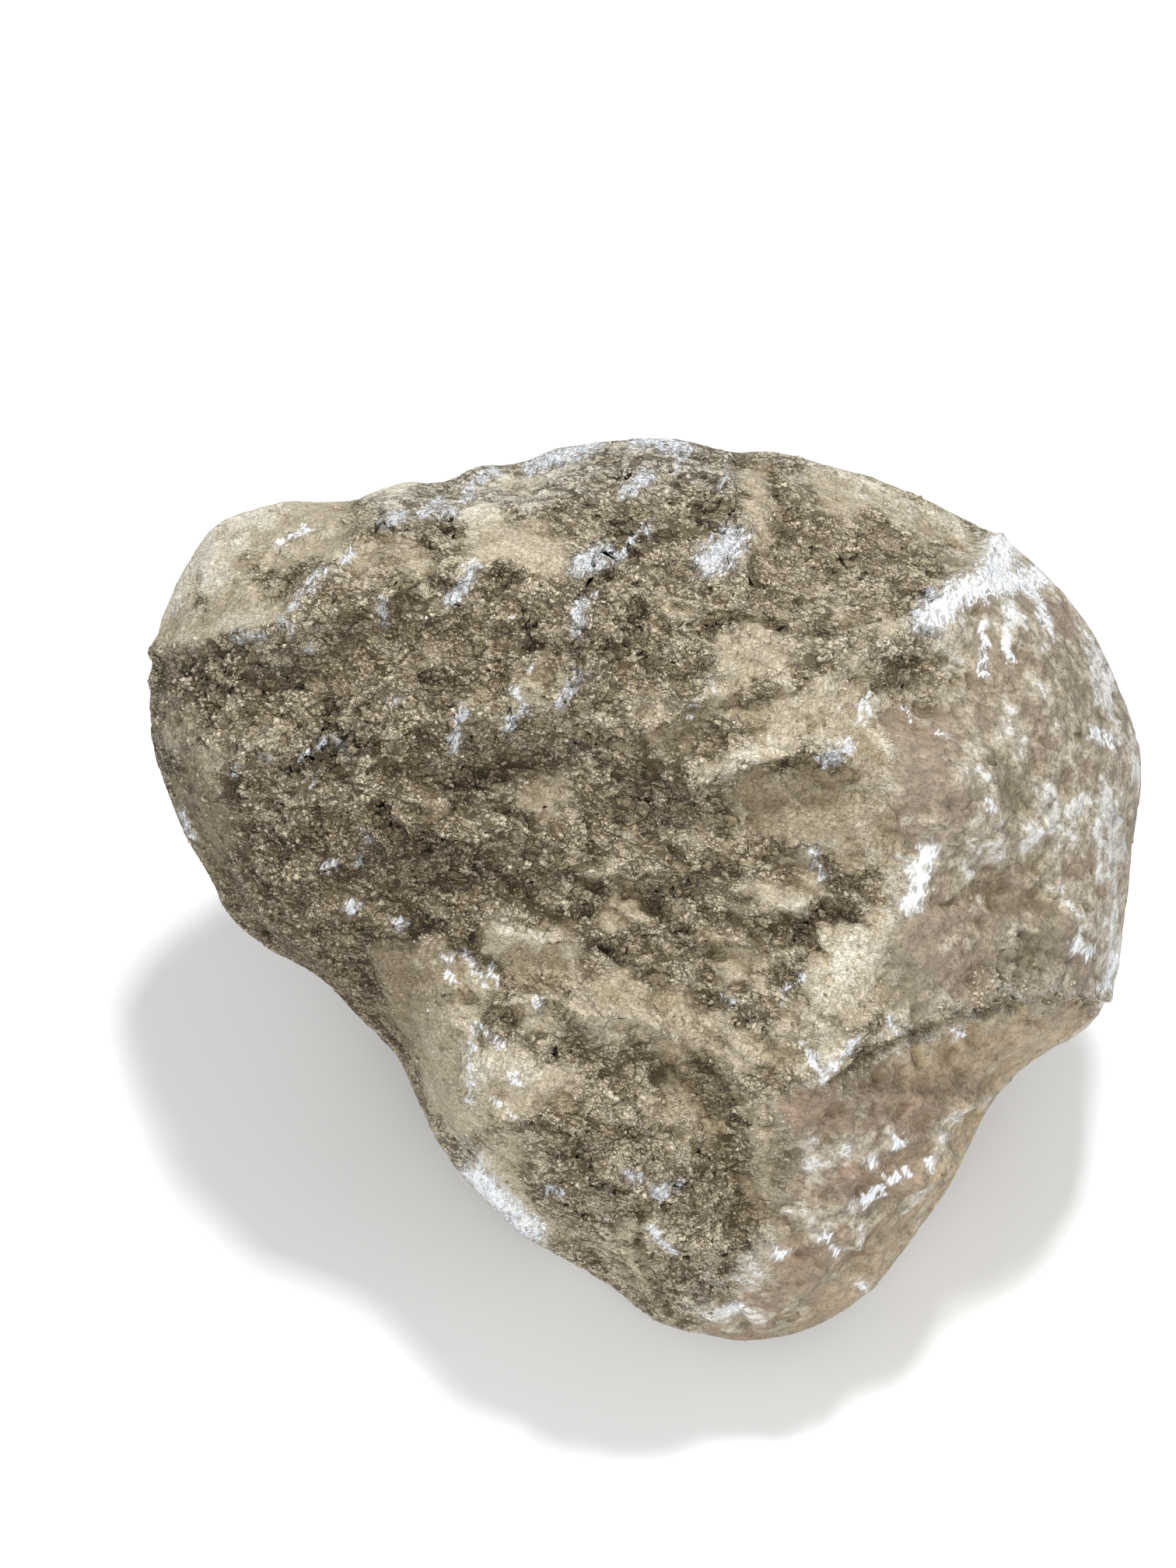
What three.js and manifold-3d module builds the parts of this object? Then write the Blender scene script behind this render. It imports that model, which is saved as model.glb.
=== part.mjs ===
// A rough block of honeycomb calcite: one solid stone, broken out of its vein on every side, standing on a
// small flat spot. Units are millimetres, +Z is up, and the origin is under the middle of the stone, on the
// plane that it stands on.
//
// The stone is laid out in a frame of its own, the face frame. Its sheet, u to the right and v up, lies
// through the thick of the stone along the broad face, and w runs out of that face. Each half of the stone is
// a height over the sheet: a dome that comes down to the outline, raised and cut by the forms listed below.
import * as THREE from "three";
import { mergeVertices } from "three/addons/utils/BufferGeometryUtils.js";
import { SimplexNoise } from "three/addons/math/SimplexNoise.js";
import Module from "manifold-3d";

// ---- Driving dimensions ----
const FACE_LEAN = 50; // how far the broad face looks up from the horizon, in degrees
const FACE_DEPTH = 84; // height of the front dome over the sheet
const BACK_DEPTH = 120; // height of the back dome, before its facets cut it down
const DOME_SHOULDER = 4; // how long the dome stays high before it falls to the outline
const STAND_DEPTH = 104; // distance of the flat spot from the middle of the sheet
const EYE = new THREE.Vector3(-17, 32, 810); // the point before the face that the outline and forms are seen from
const MESH_STEPS = 20; // steps along each edge of the base icosahedron
const FACE_SHARE = 0.22; // how far the mesh is drawn towards the front, where its forms are finest
const FRONT_BLEND = 6; // width over which two broken faces round into each other, on the front
const BACK_BLEND = 16; // the same on the back, which is more worn
const CREST_ROUND = 1.6; // half width of the worn line on top of a crest
const SIDE_WEAR = 9; // how deep the hollows in the sides go

// The outline of the stone on the sheet, seen from the eye point, anticlockwise from the right.
const OUTLINE = [
  [152, 15], [155, 34], [153, 48], [145, 68], [138, 82], [127, 95], [115, 106], [99, 115],
  [78, 125], [66, 129], [51, 133], [38, 136], [28, 135], [18, 138], [6, 140], [-9, 139],
  [-26, 137], [-39, 132], [-52, 131], [-61, 126], [-74, 126], [-85, 123], [-92, 118], [-102, 121],
  [-116, 119], [-133, 113], [-139, 105], [-148, 88], [-152, 73], [-154, 60], [-152, 42], [-142, 15],
  [-135, 4], [-129, -9], [-116, -20], [-103, -26], [-89, -40], [-76, -54], [-70, -67], [-62, -83],
  [-55, -91], [-38, -108], [-22, -117], [-7, -126], [3, -135], [20, -139], [34, -141], [54, -136],
  [72, -124], [85, -107], [96, -91], [104, -74], [110, -64], [123, -52], [137, -45], [147, -29],
  [149, -12], [151, 3],
];

// Broken faces. Each cuts a dome by a plane whose normal leans over from the dome's own axis by tilt degrees
// towards a direction on the sheet (0 right, 90 up), at a distance from the middle of the sheet.
const FRONT_FACETS = {
  broadFace: { towards: 250, tilt: 5, distance: 74 },
  upperLeftShoulder: { towards: 119, tilt: 55, distance: 138 },
  topEdge: { towards: 86, tilt: 52, distance: 136 },
  topRightEdge: { towards: 48, tilt: 50, distance: 138 },
  rightSide: { towards: 2, tilt: 40, distance: 124 },
  leftSide: { towards: 200, tilt: 38, distance: 118 },
  lowerLeftSide: { towards: 209, tilt: 25, distance: 91 },
  lowerRightSide: { towards: 322, tilt: 40, distance: 104 },
};
const BACK_FACETS = {
  heelRear: { towards: 262, tilt: 24, distance: 106 },
  heelFront: { towards: 266, tilt: 55, distance: 108 },
  heelLeft: { towards: 226, tilt: 46, distance: 110 },
  heelRight: { towards: 316, tilt: 44, distance: 112 },
  upperBack: { towards: 96, tilt: 34, distance: 112 },
  leftBack: { towards: 166, tilt: 50, distance: 122 },
  rightBack: { towards: 22, tilt: 48, distance: 124 },
};

// Crests: worn edges between broken faces. Walking along the path, the ground falls to nothing over leftReach
// on the left and over rightReach on the right.
const FRONT_CRESTS = {
  shoulderEdge: {
    path: [[-151, 71], [-129, 76], [-110, 80], [-102, 91], [-93, 101], [-79, 111], [-64, 118]],
    height: 10, leftReach: 40, rightReach: 22,
  },
  brow: {
    path: [[-104, 84], [-88, 88], [-69, 94], [-55, 99], [-35, 103], [-18, 106]],
    height: 6, leftReach: 30, rightReach: 16,
  },
  bruisedSpine: {
    path: [[-76, 46], [-58, 47], [-43, 52], [-30, 57], [-21, 66], [-20, 84], [-16, 102]],
    height: 8, leftReach: 26, rightReach: 15,
  },
  leftStep: {
    path: [[-130, 40], [-117, 44], [-103, 46], [-90, 51], [-76, 58]],
    height: 6, leftReach: 20, rightReach: 12,
  },
  leftNib: {
    path: [[-118, -2], [-104, 4], [-90, 8], [-78, 2]],
    height: 4, leftReach: 18, rightReach: 10,
  },
  midStep: {
    path: [[-90, 13], [-70, 16], [-54, 17], [-36, 14]],
    height: 7, leftReach: 26, rightReach: 14,
  },
  lip: {
    path: [[-55, -18], [-41, -15], [-26, -18], [-11, -21]],
    height: 6, leftReach: 22, rightReach: 12,
  },
  apron: {
    path: [[-46, -34], [-30, -37], [-12, -39], [4, -45], [16, -53]],
    height: 5, leftReach: 16, rightReach: 14,
  },
  overhang: {
    path: [[8, 32], [18, 34], [30, 38], [42, 42], [56, 44], [66, 40]],
    height: 7.5, leftReach: 40, rightReach: 13,
  },
  basinSill: {
    path: [[66, 74], [56, 77], [42, 82], [25, 85]],
    height: 5, leftReach: 34, rightReach: 9,
  },
  basinWall: {
    path: [[27, 132], [28, 116], [30, 101], [35, 90]],
    height: 8, leftReach: 11, rightReach: 34,
  },
  rise: {
    path: [[-8, 42], [8, 56], [22, 68], [36, 78]],
    height: 5, leftReach: 22, rightReach: 16,
  },
  corner: {
    path: [[60, 66], [78, 76], [88, 84], [100, 94], [114, 106]],
    height: 9, leftReach: 18, rightReach: 34,
  },
  nub: {
    path: [[27, 0], [42, -2], [56, -6]],
    height: 5, leftReach: 20, rightReach: 9,
  },
  longLedge: {
    path: [[44, -61], [56, -55], [68, -46], [85, -38], [109, -32], [133, -32], [148, -29]],
    height: 12, leftReach: 50, rightReach: 14,
  },
  rim: {
    path: [[32, -132], [51, -120], [68, -101], [85, -86], [100, -70], [112, -60]],
    height: 7, leftReach: 34, rightReach: 18,
  },
};
const BACK_CRESTS = {
  backRidge: {
    path: [[-120, 60], [-70, 48], [-20, 62], [40, 50], [95, 66]],
    height: 7, leftReach: 50, rightReach: 44,
  },
  backStep: {
    path: [[110, 10], [70, 18], [40, 8], [12, 14]],
    height: 7, leftReach: 40, rightReach: 26,
  },
};

// Grooves: the low lines between forms, each with its depth and half width.
const FRONT_GROOVES = {
  underShoulder: { path: [[-140, 58], [-112, 62], [-88, 66], [-60, 74], [-40, 84]], depth: 5, reach: 14 },
  underSpine: { path: [[-80, 36], [-60, 32], [-40, 38], [-20, 46]], depth: 4.5, reach: 10 },
  lowerTrough: { path: [[4, -44], [14, -62], [24, -80], [29, -97], [32, -112]], depth: 10, reach: 12 },
  leftCrease: { path: [[-98, -18], [-90, -34], [-77, -50], [-70, -66]], depth: 5, reach: 10 },
  diagonalCut: { path: [[-47, 10], [-34, -3], [-18, -14]], depth: 4, reach: 7 },
  shortCut: { path: [[-7, 3], [6, -6], [18, -16]], depth: 3, reach: 6 },
};
const BACK_GROOVES = {
  backSeam: { path: [[-60, 110], [-40, 70], [-50, 30], [-30, -10]], depth: 6, reach: 16 },
};

// Lumps, and scoops where the height is less than nothing: round forms with a middle, half widths across and
// up, and a height.
const FRONT_LUMPS = {
  basin: { at: [60, 106], size: [30, 17], height: -13 },
  leftLobe: { at: [-112, 18], size: [34, 30], height: 7 },
  valley: { at: [-4, 30], size: [32, 18], height: -7 },
  lowerLobe: { at: [-46, -58], size: [24, 32], height: 12 },
  column: { at: [-10, -84], size: [20, 32], height: 7 },
  rightBoss: { at: [97, 32], size: [22, 14], height: 7 },
  underCorner: { at: [90, 62], size: [18, 13], height: -7 },
  rightHollow: { at: [107, -1], size: [22, 11], height: -5 },
  rightSwell: { at: [101, -19], size: [17, 9], height: 5 },
  paleBank: { at: [58, -34], size: [13, 17], height: 5 },
  rightKnob: { at: [139, -12], size: [14, 14], height: 7 },
  calciteCheek: { at: [72, -84], size: [26, 24], height: 5 },
};
const BACK_LUMPS = {
  backScoop: { at: [70, 88], size: [34, 24], height: -12 },
  backBoss: { at: [-88, 20], size: [30, 26], height: 10 },
  backKnob: { at: [36, 96], size: [22, 18], height: 8 },
};

// ---- Forms over the sheet ----
const radians = THREE.MathUtils.degToRad;

// The outline as a table of radius against angle, from a smooth closed curve through its points.
function makeOutline(points) {
  const corners = points.map(([u, v]) => new THREE.Vector3(u, v, 0));
  const curve = new THREE.CatmullRomCurve3(corners, true, "centripetal");
  const samples = curve.getPoints(points.length * 12).map((p) => [Math.atan2(p.y, p.x), Math.hypot(p.x, p.y)]);
  samples.sort((a, b) => a[0] - b[0]);
  const first = samples[0];
  const last = samples[samples.length - 1];
  samples.unshift([last[0] - 2 * Math.PI, last[1]]);
  samples.push([first[0] + 2 * Math.PI, first[1]]);
  return (angle) => {
    let low = 0;
    let high = samples.length - 1;
    while (high - low > 1) {
      const middle = (low + high) >> 1;
      if (samples[middle][0] <= angle) low = middle;
      else high = middle;
    }
    const [fromAngle, fromRadius] = samples[low];
    const [toAngle, toRadius] = samples[high];
    return THREE.MathUtils.mapLinear(angle, fromAngle, toAngle, fromRadius, toRadius);
  };
}

// A path smoothed into short straight steps. For any point of the sheet it gives the distance to the path, how
// far along the path the nearest place is, and how squarely the point lies to the left of it (-1 to 1).
function makeTrail(path) {
  const curve = new THREE.SplineCurve(path.map(([u, v]) => new THREE.Vector2(u, v)));
  const steps = curve.getPoints((path.length - 1) * 4);
  return (u, v) => {
    let best = { distance: Infinity, left: 0, along: 0 };
    for (let i = 0; i + 1 < steps.length; i += 1) {
      const a = steps[i];
      const b = steps[i + 1];
      const [du, dv] = [b.x - a.x, b.y - a.y];
      const t = THREE.MathUtils.clamp(((u - a.x) * du + (v - a.y) * dv) / (du * du + dv * dv), 0, 1);
      const distance = Math.hypot(u - a.x - t * du, v - a.y - t * dv);
      if (distance < best.distance) {
        const lateral = (du * (v - a.y) - dv * (u - a.x)) / Math.hypot(du, dv);
        best = { distance, left: lateral / Math.max(distance, 1e-6), along: (i + t) / (steps.length - 1) };
      }
    }
    return best;
  };
}

// A path's own height fades out at its two ends.
function fadeAtEnds(along) {
  const END_SHARE = 0.25;
  return THREE.MathUtils.smoothstep(Math.min(along, 1 - along), -0.05, END_SHARE);
}

function makeCrest({ path, height, leftReach, rightReach }) {
  const nearest = makeTrail(path);
  return (u, v) => {
    const { distance, left, along } = nearest(u, v);
    const reach = THREE.MathUtils.mapLinear(left, -1, 1, rightReach, leftReach);
    const worn = Math.hypot(distance, CREST_ROUND) - CREST_ROUND;
    return height * fadeAtEnds(along) * Math.max(0, 1 - worn / reach) ** 2;
  };
}

function makeGroove({ path, depth, reach }) {
  const nearest = makeTrail(path);
  return (u, v) => {
    const { distance, along } = nearest(u, v);
    return -depth * fadeAtEnds(along) * Math.exp(-((distance / reach) ** 2));
  };
}

function makeLump({ at, size, height }) {
  return (u, v) => height * Math.exp(-(((u - at[0]) / size[0]) ** 2) - ((v - at[1]) / size[1]) ** 2);
}

// A noise whose hollows and swellings are always the same for the same seed.
function makeNoise(seed) {
  let state = seed;
  const random = () => {
    state = (state * 16807) % 2147483647;
    return state / 2147483647;
  };
  return new SimplexNoise({ random });
}

// Small unevenness over the whole of a half, in three sizes.
function makeUnevenness(seed, strength) {
  const noise = makeNoise(seed);
  const sizes = [[62, 2.6], [31, 1.5], [16, 0.9]];
  return (u, v) => sizes.reduce((sum, [size, height]) => sum + strength * height * noise.noise(u / size, v / size), 0);
}

// A facet's height over the sheet at a point.
function makeFacet({ towards, tilt, distance }) {
  const lean = Math.sin(radians(tilt));
  const [nu, nv] = [lean * Math.cos(radians(towards)), lean * Math.sin(radians(towards))];
  return (u, v) => (distance - nu * u - nv * v) / Math.cos(radians(tilt));
}

// The lower of two heights, rounded over where they cross.
function softMin(a, b, blend) {
  const share = Math.max(blend - Math.abs(a - b), 0) / blend;
  return Math.min(a, b) - share * share * blend * 0.25;
}

const outlineRadius = makeOutline(OUTLINE);

// One half of the stone: the height over the sheet at a point, from the dome, the facets and the forms.
function makeHalf({ depth, blend, facets, crests, grooves, lumps, seed, roughness }) {
  const cuts = Object.values(facets).map(makeFacet);
  const forms = [
    ...Object.values(crests).map(makeCrest),
    ...Object.values(grooves).map(makeGroove),
    ...Object.values(lumps).map(makeLump),
    makeUnevenness(seed, roughness),
  ];
  return (u, v, share) => {
    const fall = 1 - share ** DOME_SHOULDER;
    const dome = depth * Math.sqrt(fall);
    const cut = cuts.reduce((height, facet) => softMin(height, facet(u, v), blend), dome);
    const relief = forms.reduce((sum, form) => sum + form(u, v), 0);
    const RELIEF_EDGE = 0.35;
    const hold = Math.min(1, Math.sqrt(fall) / RELIEF_EDGE);
    return Math.max(cut + relief * hold, 0.25 * dome);
  };
}

const frontHeight = makeHalf({
  depth: FACE_DEPTH,
  blend: FRONT_BLEND,
  facets: FRONT_FACETS,
  crests: FRONT_CRESTS,
  grooves: FRONT_GROOVES,
  lumps: FRONT_LUMPS,
  seed: 41,
  roughness: 0.8,
});
const backHeight = makeHalf({
  depth: BACK_DEPTH,
  blend: BACK_BLEND,
  facets: BACK_FACETS,
  crests: BACK_CRESTS,
  grooves: BACK_GROOVES,
  lumps: BACK_LUMPS,
  seed: 977,
  roughness: 1.6,
});

// The small notches of the outline belong to its very edge: away from the edge the radius settles to its mean
// over the neighbouring angles.
function radiusAt(angle, share) {
  const offsets = [-20, -14, -8, -3, 3, 8, 14, 20];
  const wrap = (a) => Math.atan2(Math.sin(a), Math.cos(a));
  const mean = offsets.reduce((sum, step) => sum + outlineRadius(wrap(angle + radians(step))), 0) / offsets.length;
  return THREE.MathUtils.lerp(mean, outlineRadius(angle), share ** 12);
}

// Hollows in the sides, which only ever go in, and leave the outline itself alone.
const sideNoise = makeNoise(2203);
function sideWear(u, v, w, share) {
  const broad = 0.5 + 0.5 * sideNoise.noise3d(u / 58, v / 58, w / 40);
  const fine = 0.5 + 0.5 * sideNoise.noise3d(u / 23, v / 23, w / 17);
  const away = THREE.MathUtils.smoothstep(Math.abs(w), 0, 24);
  return SIDE_WEAR * (0.7 * broad + 0.3 * fine) * away * share ** 6;
}

// A direction from the middle of the stone becomes a place on its surface. The share of the outline's radius
// and the angle give the place on the sheet, and the height over it is seen along a line from the eye point.
function placeOnStone(direction) {
  const share = Math.min(Math.hypot(direction.x, direction.y), 0.99995);
  const angle = Math.atan2(direction.y, direction.x);
  const radius = share * radiusAt(angle, share);
  const [u, v] = [radius * Math.cos(angle), radius * Math.sin(angle)];
  const w = direction.z >= 0 ? frontHeight(u, v, share) : -backHeight(u, v, share);
  const kept = 1 - sideWear(u, v, w, share) / Math.max(radius, 1);
  const sightShare = (EYE.z - w) / EYE.z;
  return new THREE.Vector3(
    EYE.x + (u * kept - EYE.x) * sightShare,
    EYE.y + (v * kept - EYE.y) * sightShare,
    w,
  );
}

// ---- The stone as a mesh, set on its flat spot ----
function makeStoneGeometry() {
  const sphere = new THREE.IcosahedronGeometry(1, MESH_STEPS);
  const positions = sphere.getAttribute("position");
  const direction = new THREE.Vector3();
  for (let i = 0; i < positions.count; i += 1) {
    direction.fromBufferAttribute(positions, i).normalize();
    direction.z += FACE_SHARE;
    direction.normalize();
    const place = placeOnStone(direction);
    positions.setXYZ(i, place.x, place.y, place.z);
  }
  const stone = new THREE.BufferGeometry().setAttribute("position", positions);
  // The face frame stands up: u stays +X, and the face looks up from the horizon towards -Y.
  stone.rotateX(radians(90 - FACE_LEAN));
  stone.translate(0, 0, STAND_DEPTH);
  return mergeVertices(stone, 1e-4);
}

const wasm = await Module();
wasm.setup();

function solidFrom(geometry) {
  const bare = new THREE.BufferGeometry().setAttribute("position", geometry.getAttribute("position"));
  bare.setIndex(geometry.getIndex());
  const closed = mergeVertices(bare, 1e-4);
  const vertProperties = Float32Array.from(closed.getAttribute("position").array);
  const triVerts = Uint32Array.from(closed.getIndex().array);
  return new wasm.Manifold(new wasm.Mesh({ numProp: 3, vertProperties, triVerts }));
}

function geometryFrom(solid) {
  const { vertProperties, triVerts } = solid.getMesh();
  const geometry = new THREE.BufferGeometry();
  geometry.setAttribute("position", new THREE.BufferAttribute(Float32Array.from(vertProperties), 3));
  geometry.setIndex(new THREE.BufferAttribute(Uint32Array.from(triVerts), 1));
  return geometry;
}

// Everything below the plane that the stone stands on is taken away, which leaves the flat spot.
function cutFlatSpot(geometry) {
  const GROUND_SIZE = 800;
  const ground = new THREE.BoxGeometry(GROUND_SIZE, GROUND_SIZE, GROUND_SIZE);
  ground.translate(0, 0, -GROUND_SIZE / 2);
  return geometryFrom(solidFrom(geometry).subtract(solidFrom(ground)));
}

// The origin goes under the middle of the stone's own box.
function centreOverOrigin(geometry) {
  geometry.computeBoundingBox();
  const { min, max } = geometry.boundingBox;
  return geometry.translate(-(min.x + max.x) / 2, -(min.y + max.y) / 2, 0);
}

const stoneGeometry = centreOverOrigin(cutFlatSpot(makeStoneGeometry()));
stoneGeometry.computeVertexNormals();

const stoneMaterial = new THREE.MeshStandardMaterial({ color: 0xa89c84, roughness: 0.9, metalness: 0 });
const calciteBlock = new THREE.Mesh(stoneGeometry, stoneMaterial);
calciteBlock.name = "calcite_block";

const stone = new THREE.Group();
stone.add(calciteBlock);

export default stone;
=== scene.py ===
# %% [markdown]
# # A rough block of honeycomb calcite
# One stone, 310 mm across, broken out of its vein on every side. A brown crust of earth and crumbled calcite
# covers most of its broad face. Bare calcite shows on its right side, cream, pink-brown and honey coloured.
# Knocks have bruised its edges white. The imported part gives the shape, and this notebook gives the grain.

# %% The part
import math

import bpy
import numpy as np
from mathutils import Matrix, Vector, kdtree, noise


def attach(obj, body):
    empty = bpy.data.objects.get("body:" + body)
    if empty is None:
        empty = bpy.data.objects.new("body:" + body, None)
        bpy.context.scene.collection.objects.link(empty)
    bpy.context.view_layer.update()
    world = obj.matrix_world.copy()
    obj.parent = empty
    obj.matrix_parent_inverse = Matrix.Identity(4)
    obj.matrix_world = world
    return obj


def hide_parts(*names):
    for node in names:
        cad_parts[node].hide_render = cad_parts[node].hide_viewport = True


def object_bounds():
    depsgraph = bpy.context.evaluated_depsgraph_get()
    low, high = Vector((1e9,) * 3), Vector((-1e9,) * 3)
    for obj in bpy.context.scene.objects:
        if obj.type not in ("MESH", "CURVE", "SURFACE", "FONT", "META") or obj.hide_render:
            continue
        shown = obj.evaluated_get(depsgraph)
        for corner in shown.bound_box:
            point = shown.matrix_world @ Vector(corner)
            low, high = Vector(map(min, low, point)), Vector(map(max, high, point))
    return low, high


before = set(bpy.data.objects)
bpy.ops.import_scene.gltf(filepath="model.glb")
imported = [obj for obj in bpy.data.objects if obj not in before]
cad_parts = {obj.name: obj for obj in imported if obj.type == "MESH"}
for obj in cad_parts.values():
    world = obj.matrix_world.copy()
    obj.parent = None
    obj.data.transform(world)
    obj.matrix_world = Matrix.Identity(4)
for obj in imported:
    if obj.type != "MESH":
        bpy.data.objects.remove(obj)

MM = 0.001
part_low, part_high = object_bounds()
print("part:", [round(x / MM, 1) for x in part_high - part_low], "mm")

# %% [markdown]
# ## The sheet
# Most of what makes this stone itself is on one broad face, which leans back as the stone lies. Its features
# could be placed by x, y and z, but on a slanting face that is hard to read or to change. So they are laid
# out on a sheet along the face: u runs to the right, v up the face, and w out of it. Places on the sheet are
# in millimetres, as seen along a line from the eye point. The part was drawn on the same sheet, so that a
# crack or a bruise lands on the ledge that it belongs to.

# %% Laying out the sheet
FACE_LEAN = math.radians(50)
SHEET_ORIGIN = Vector((-0.6, -7.8, 104.0)) * MM
EYE = Vector((-17.0, 32.0, 810.0)) * MM
ACROSS = Vector((1, 0, 0))
UP_FACE = Vector((0, math.sin(FACE_LEAN), math.cos(FACE_LEAN)))
OUT_OF_FACE = Vector((0, -math.cos(FACE_LEAN), math.sin(FACE_LEAN)))
SHEET_AXES = Matrix((ACROSS, UP_FACE, OUT_OF_FACE)).transposed()


def from_sheet(u, v, w):
    """The scene's place of one place on the sheet, both in metres."""
    return SHEET_ORIGIN + ACROSS * u + UP_FACE * v + OUT_OF_FACE * w


def on_sheet(places):
    """The u, v and w of many places at once, in millimetres, with u and v as seen from the eye point."""
    away = places - np.array(SHEET_ORIGIN)
    u, v, w = (away @ np.array(axis) for axis in (ACROSS, UP_FACE, OUT_OF_FACE))
    nearer = EYE.z / (EYE.z - w)
    return (EYE.x + (u - EYE.x) * nearer) / MM, (EYE.y + (v - EYE.y) * nearer) / MM, w / MM


def new_object(name, data):
    obj = bpy.data.objects.new(name, data)
    bpy.context.scene.collection.objects.link(obj)
    return obj


def smooth_step(low, high, value):
    share = np.clip((value - low) / (high - low), 0, 1)
    return share * share * (3 - 2 * share)


ONE_TURN = 6.28


def wander(u, v, size, reach):
    """Places on the sheet, moved about by crossing waves, so that what is drawn there isn't straight."""
    a, b = u * ONE_TURN / size, v * ONE_TURN / size
    moved_u = u + reach * (np.sin(0.9 * b + 1.3 * np.sin(0.7 * a)) + 0.6 * np.sin(1.7 * a + 0.8 * b + 2.0))
    moved_v = v + reach * (np.sin(1.1 * a + 1.1 * np.sin(0.6 * b + 1.0)) + 0.6 * np.sin(1.9 * b - 0.7 * a))
    return moved_u, moved_v


print("eye point:", [round(x / MM) for x in from_sheet(*EYE)], "mm")


# %% Distances on the sheet
def along_path(u, v, path):
    """Distance to a path, and how squarely each place lies to the left of it, from -1 to 1."""
    nearest = np.full(len(u), 1e9)
    left = np.zeros(len(u))
    for (u0, v0), (u1, v1) in zip(path, path[1:]):
        du, dv = u1 - u0, v1 - v0
        share = np.clip(((u - u0) * du + (v - v0) * dv) / (du * du + dv * dv), 0, 1)
        distance = np.hypot(u - u0 - share * du, v - v0 - share * dv)
        lateral = (du * (v - v0) - dv * (u - u0)) / math.hypot(du, dv)
        closer = distance < nearest
        left[closer] = (lateral / np.maximum(distance, 1e-6))[closer]
        nearest[closer] = distance[closer]
    return nearest, left


def inside_outline(u, v, outline):
    """True for the places inside a closed outline."""
    inside = np.zeros(len(u), bool)
    for (u0, v0), (u1, v1) in zip(outline, outline[1:] + outline[:1]):
        if v0 == v1:
            continue
        crosses = (v0 > v) != (v1 > v)
        inside ^= crosses & (u < u0 + (v - v0) * (u1 - u0) / (v1 - v0))
    return inside


def patch(u, v, outline, feather):
    """1 well inside an outline, 0 well outside it, with a soft edge."""
    distance, _ = along_path(u, v, outline + outline[:1])
    signed = np.where(inside_outline(u, v, outline), distance, -distance)
    return smooth_step(-feather, feather, signed)


# %% [markdown]
# ## The body of the stone
# The part has the stone's lumps, scoops and ledges, but its faces are several millimetres wide, far coarser
# than the grain. A copy of it could be subdivided until it was fine enough, but its triangles are uneven, and
# would stay so. Instead the copy is merged, rounded by one subdivision, and rebuilt by a voxel remesh as an
# even skin of millimetre squares, which carries small relief equally well everywhere.

# %% Rebuilding the skin
SKIN_STEP = 1.0 * MM

calcite_stone = new_object("calcite_stone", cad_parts["calcite_block"].data.copy())
bpy.ops.object.select_all(action="DESELECT")
calcite_stone.select_set(True)
bpy.context.view_layer.objects.active = calcite_stone
calcite_stone.data.materials.clear()

bpy.ops.object.mode_set(mode="EDIT")
bpy.ops.mesh.select_all(action="SELECT")
bpy.ops.mesh.remove_doubles(threshold=0.01 * MM)
bpy.ops.object.mode_set(mode="OBJECT")

rounding = calcite_stone.modifiers.new("rounding", "SUBSURF")
rounding.levels = 1
rounding.render_levels = 1
bpy.ops.object.modifier_apply(modifier=rounding.name)
calcite_stone.data.remesh_voxel_size = SKIN_STEP
bpy.ops.object.voxel_remesh()
print("skin:", len(calcite_stone.data.polygons), "squares")


# %% Reading and moving the skin
def read_places(mesh):
    places = np.empty(len(mesh.vertices) * 3)
    mesh.vertices.foreach_get("co", places)
    return places.reshape(-1, 3)


def read_normals(mesh):
    normals = np.empty(len(mesh.vertices) * 3)
    mesh.vertex_normals.foreach_get("vector", normals)
    return normals.reshape(-1, 3)


def write_places(mesh, places):
    mesh.vertices.foreach_set("co", places.ravel())
    mesh.update()


def facing_eye(w, normals):
    """1 where the skin faces the eye point, falling to 0 at the outline and behind."""
    return smooth_step(-6, 4, w) * smooth_step(0.05, 0.35, normals @ np.array(OUT_OF_FACE))


# %% [markdown]
# ## Ledges, cracks and pits
# The small ledges step down towards the lower right, where layers of the crust have flaked away. They could
# be sculpted by hand, or left to a bump, but a bump casts no shadow and doesn't show at the outline. Here
# each form is written down, and the skin is moved along its normals by the sum of them all, so that one can
# be changed without touching the rest. A ledge is a path with a height, and with how far it reaches on its
# left and on its right, the shorter reach being the steeper side. A crack is a path with a depth and a half
# width, and a pit is a middle, a radius and a depth.

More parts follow.
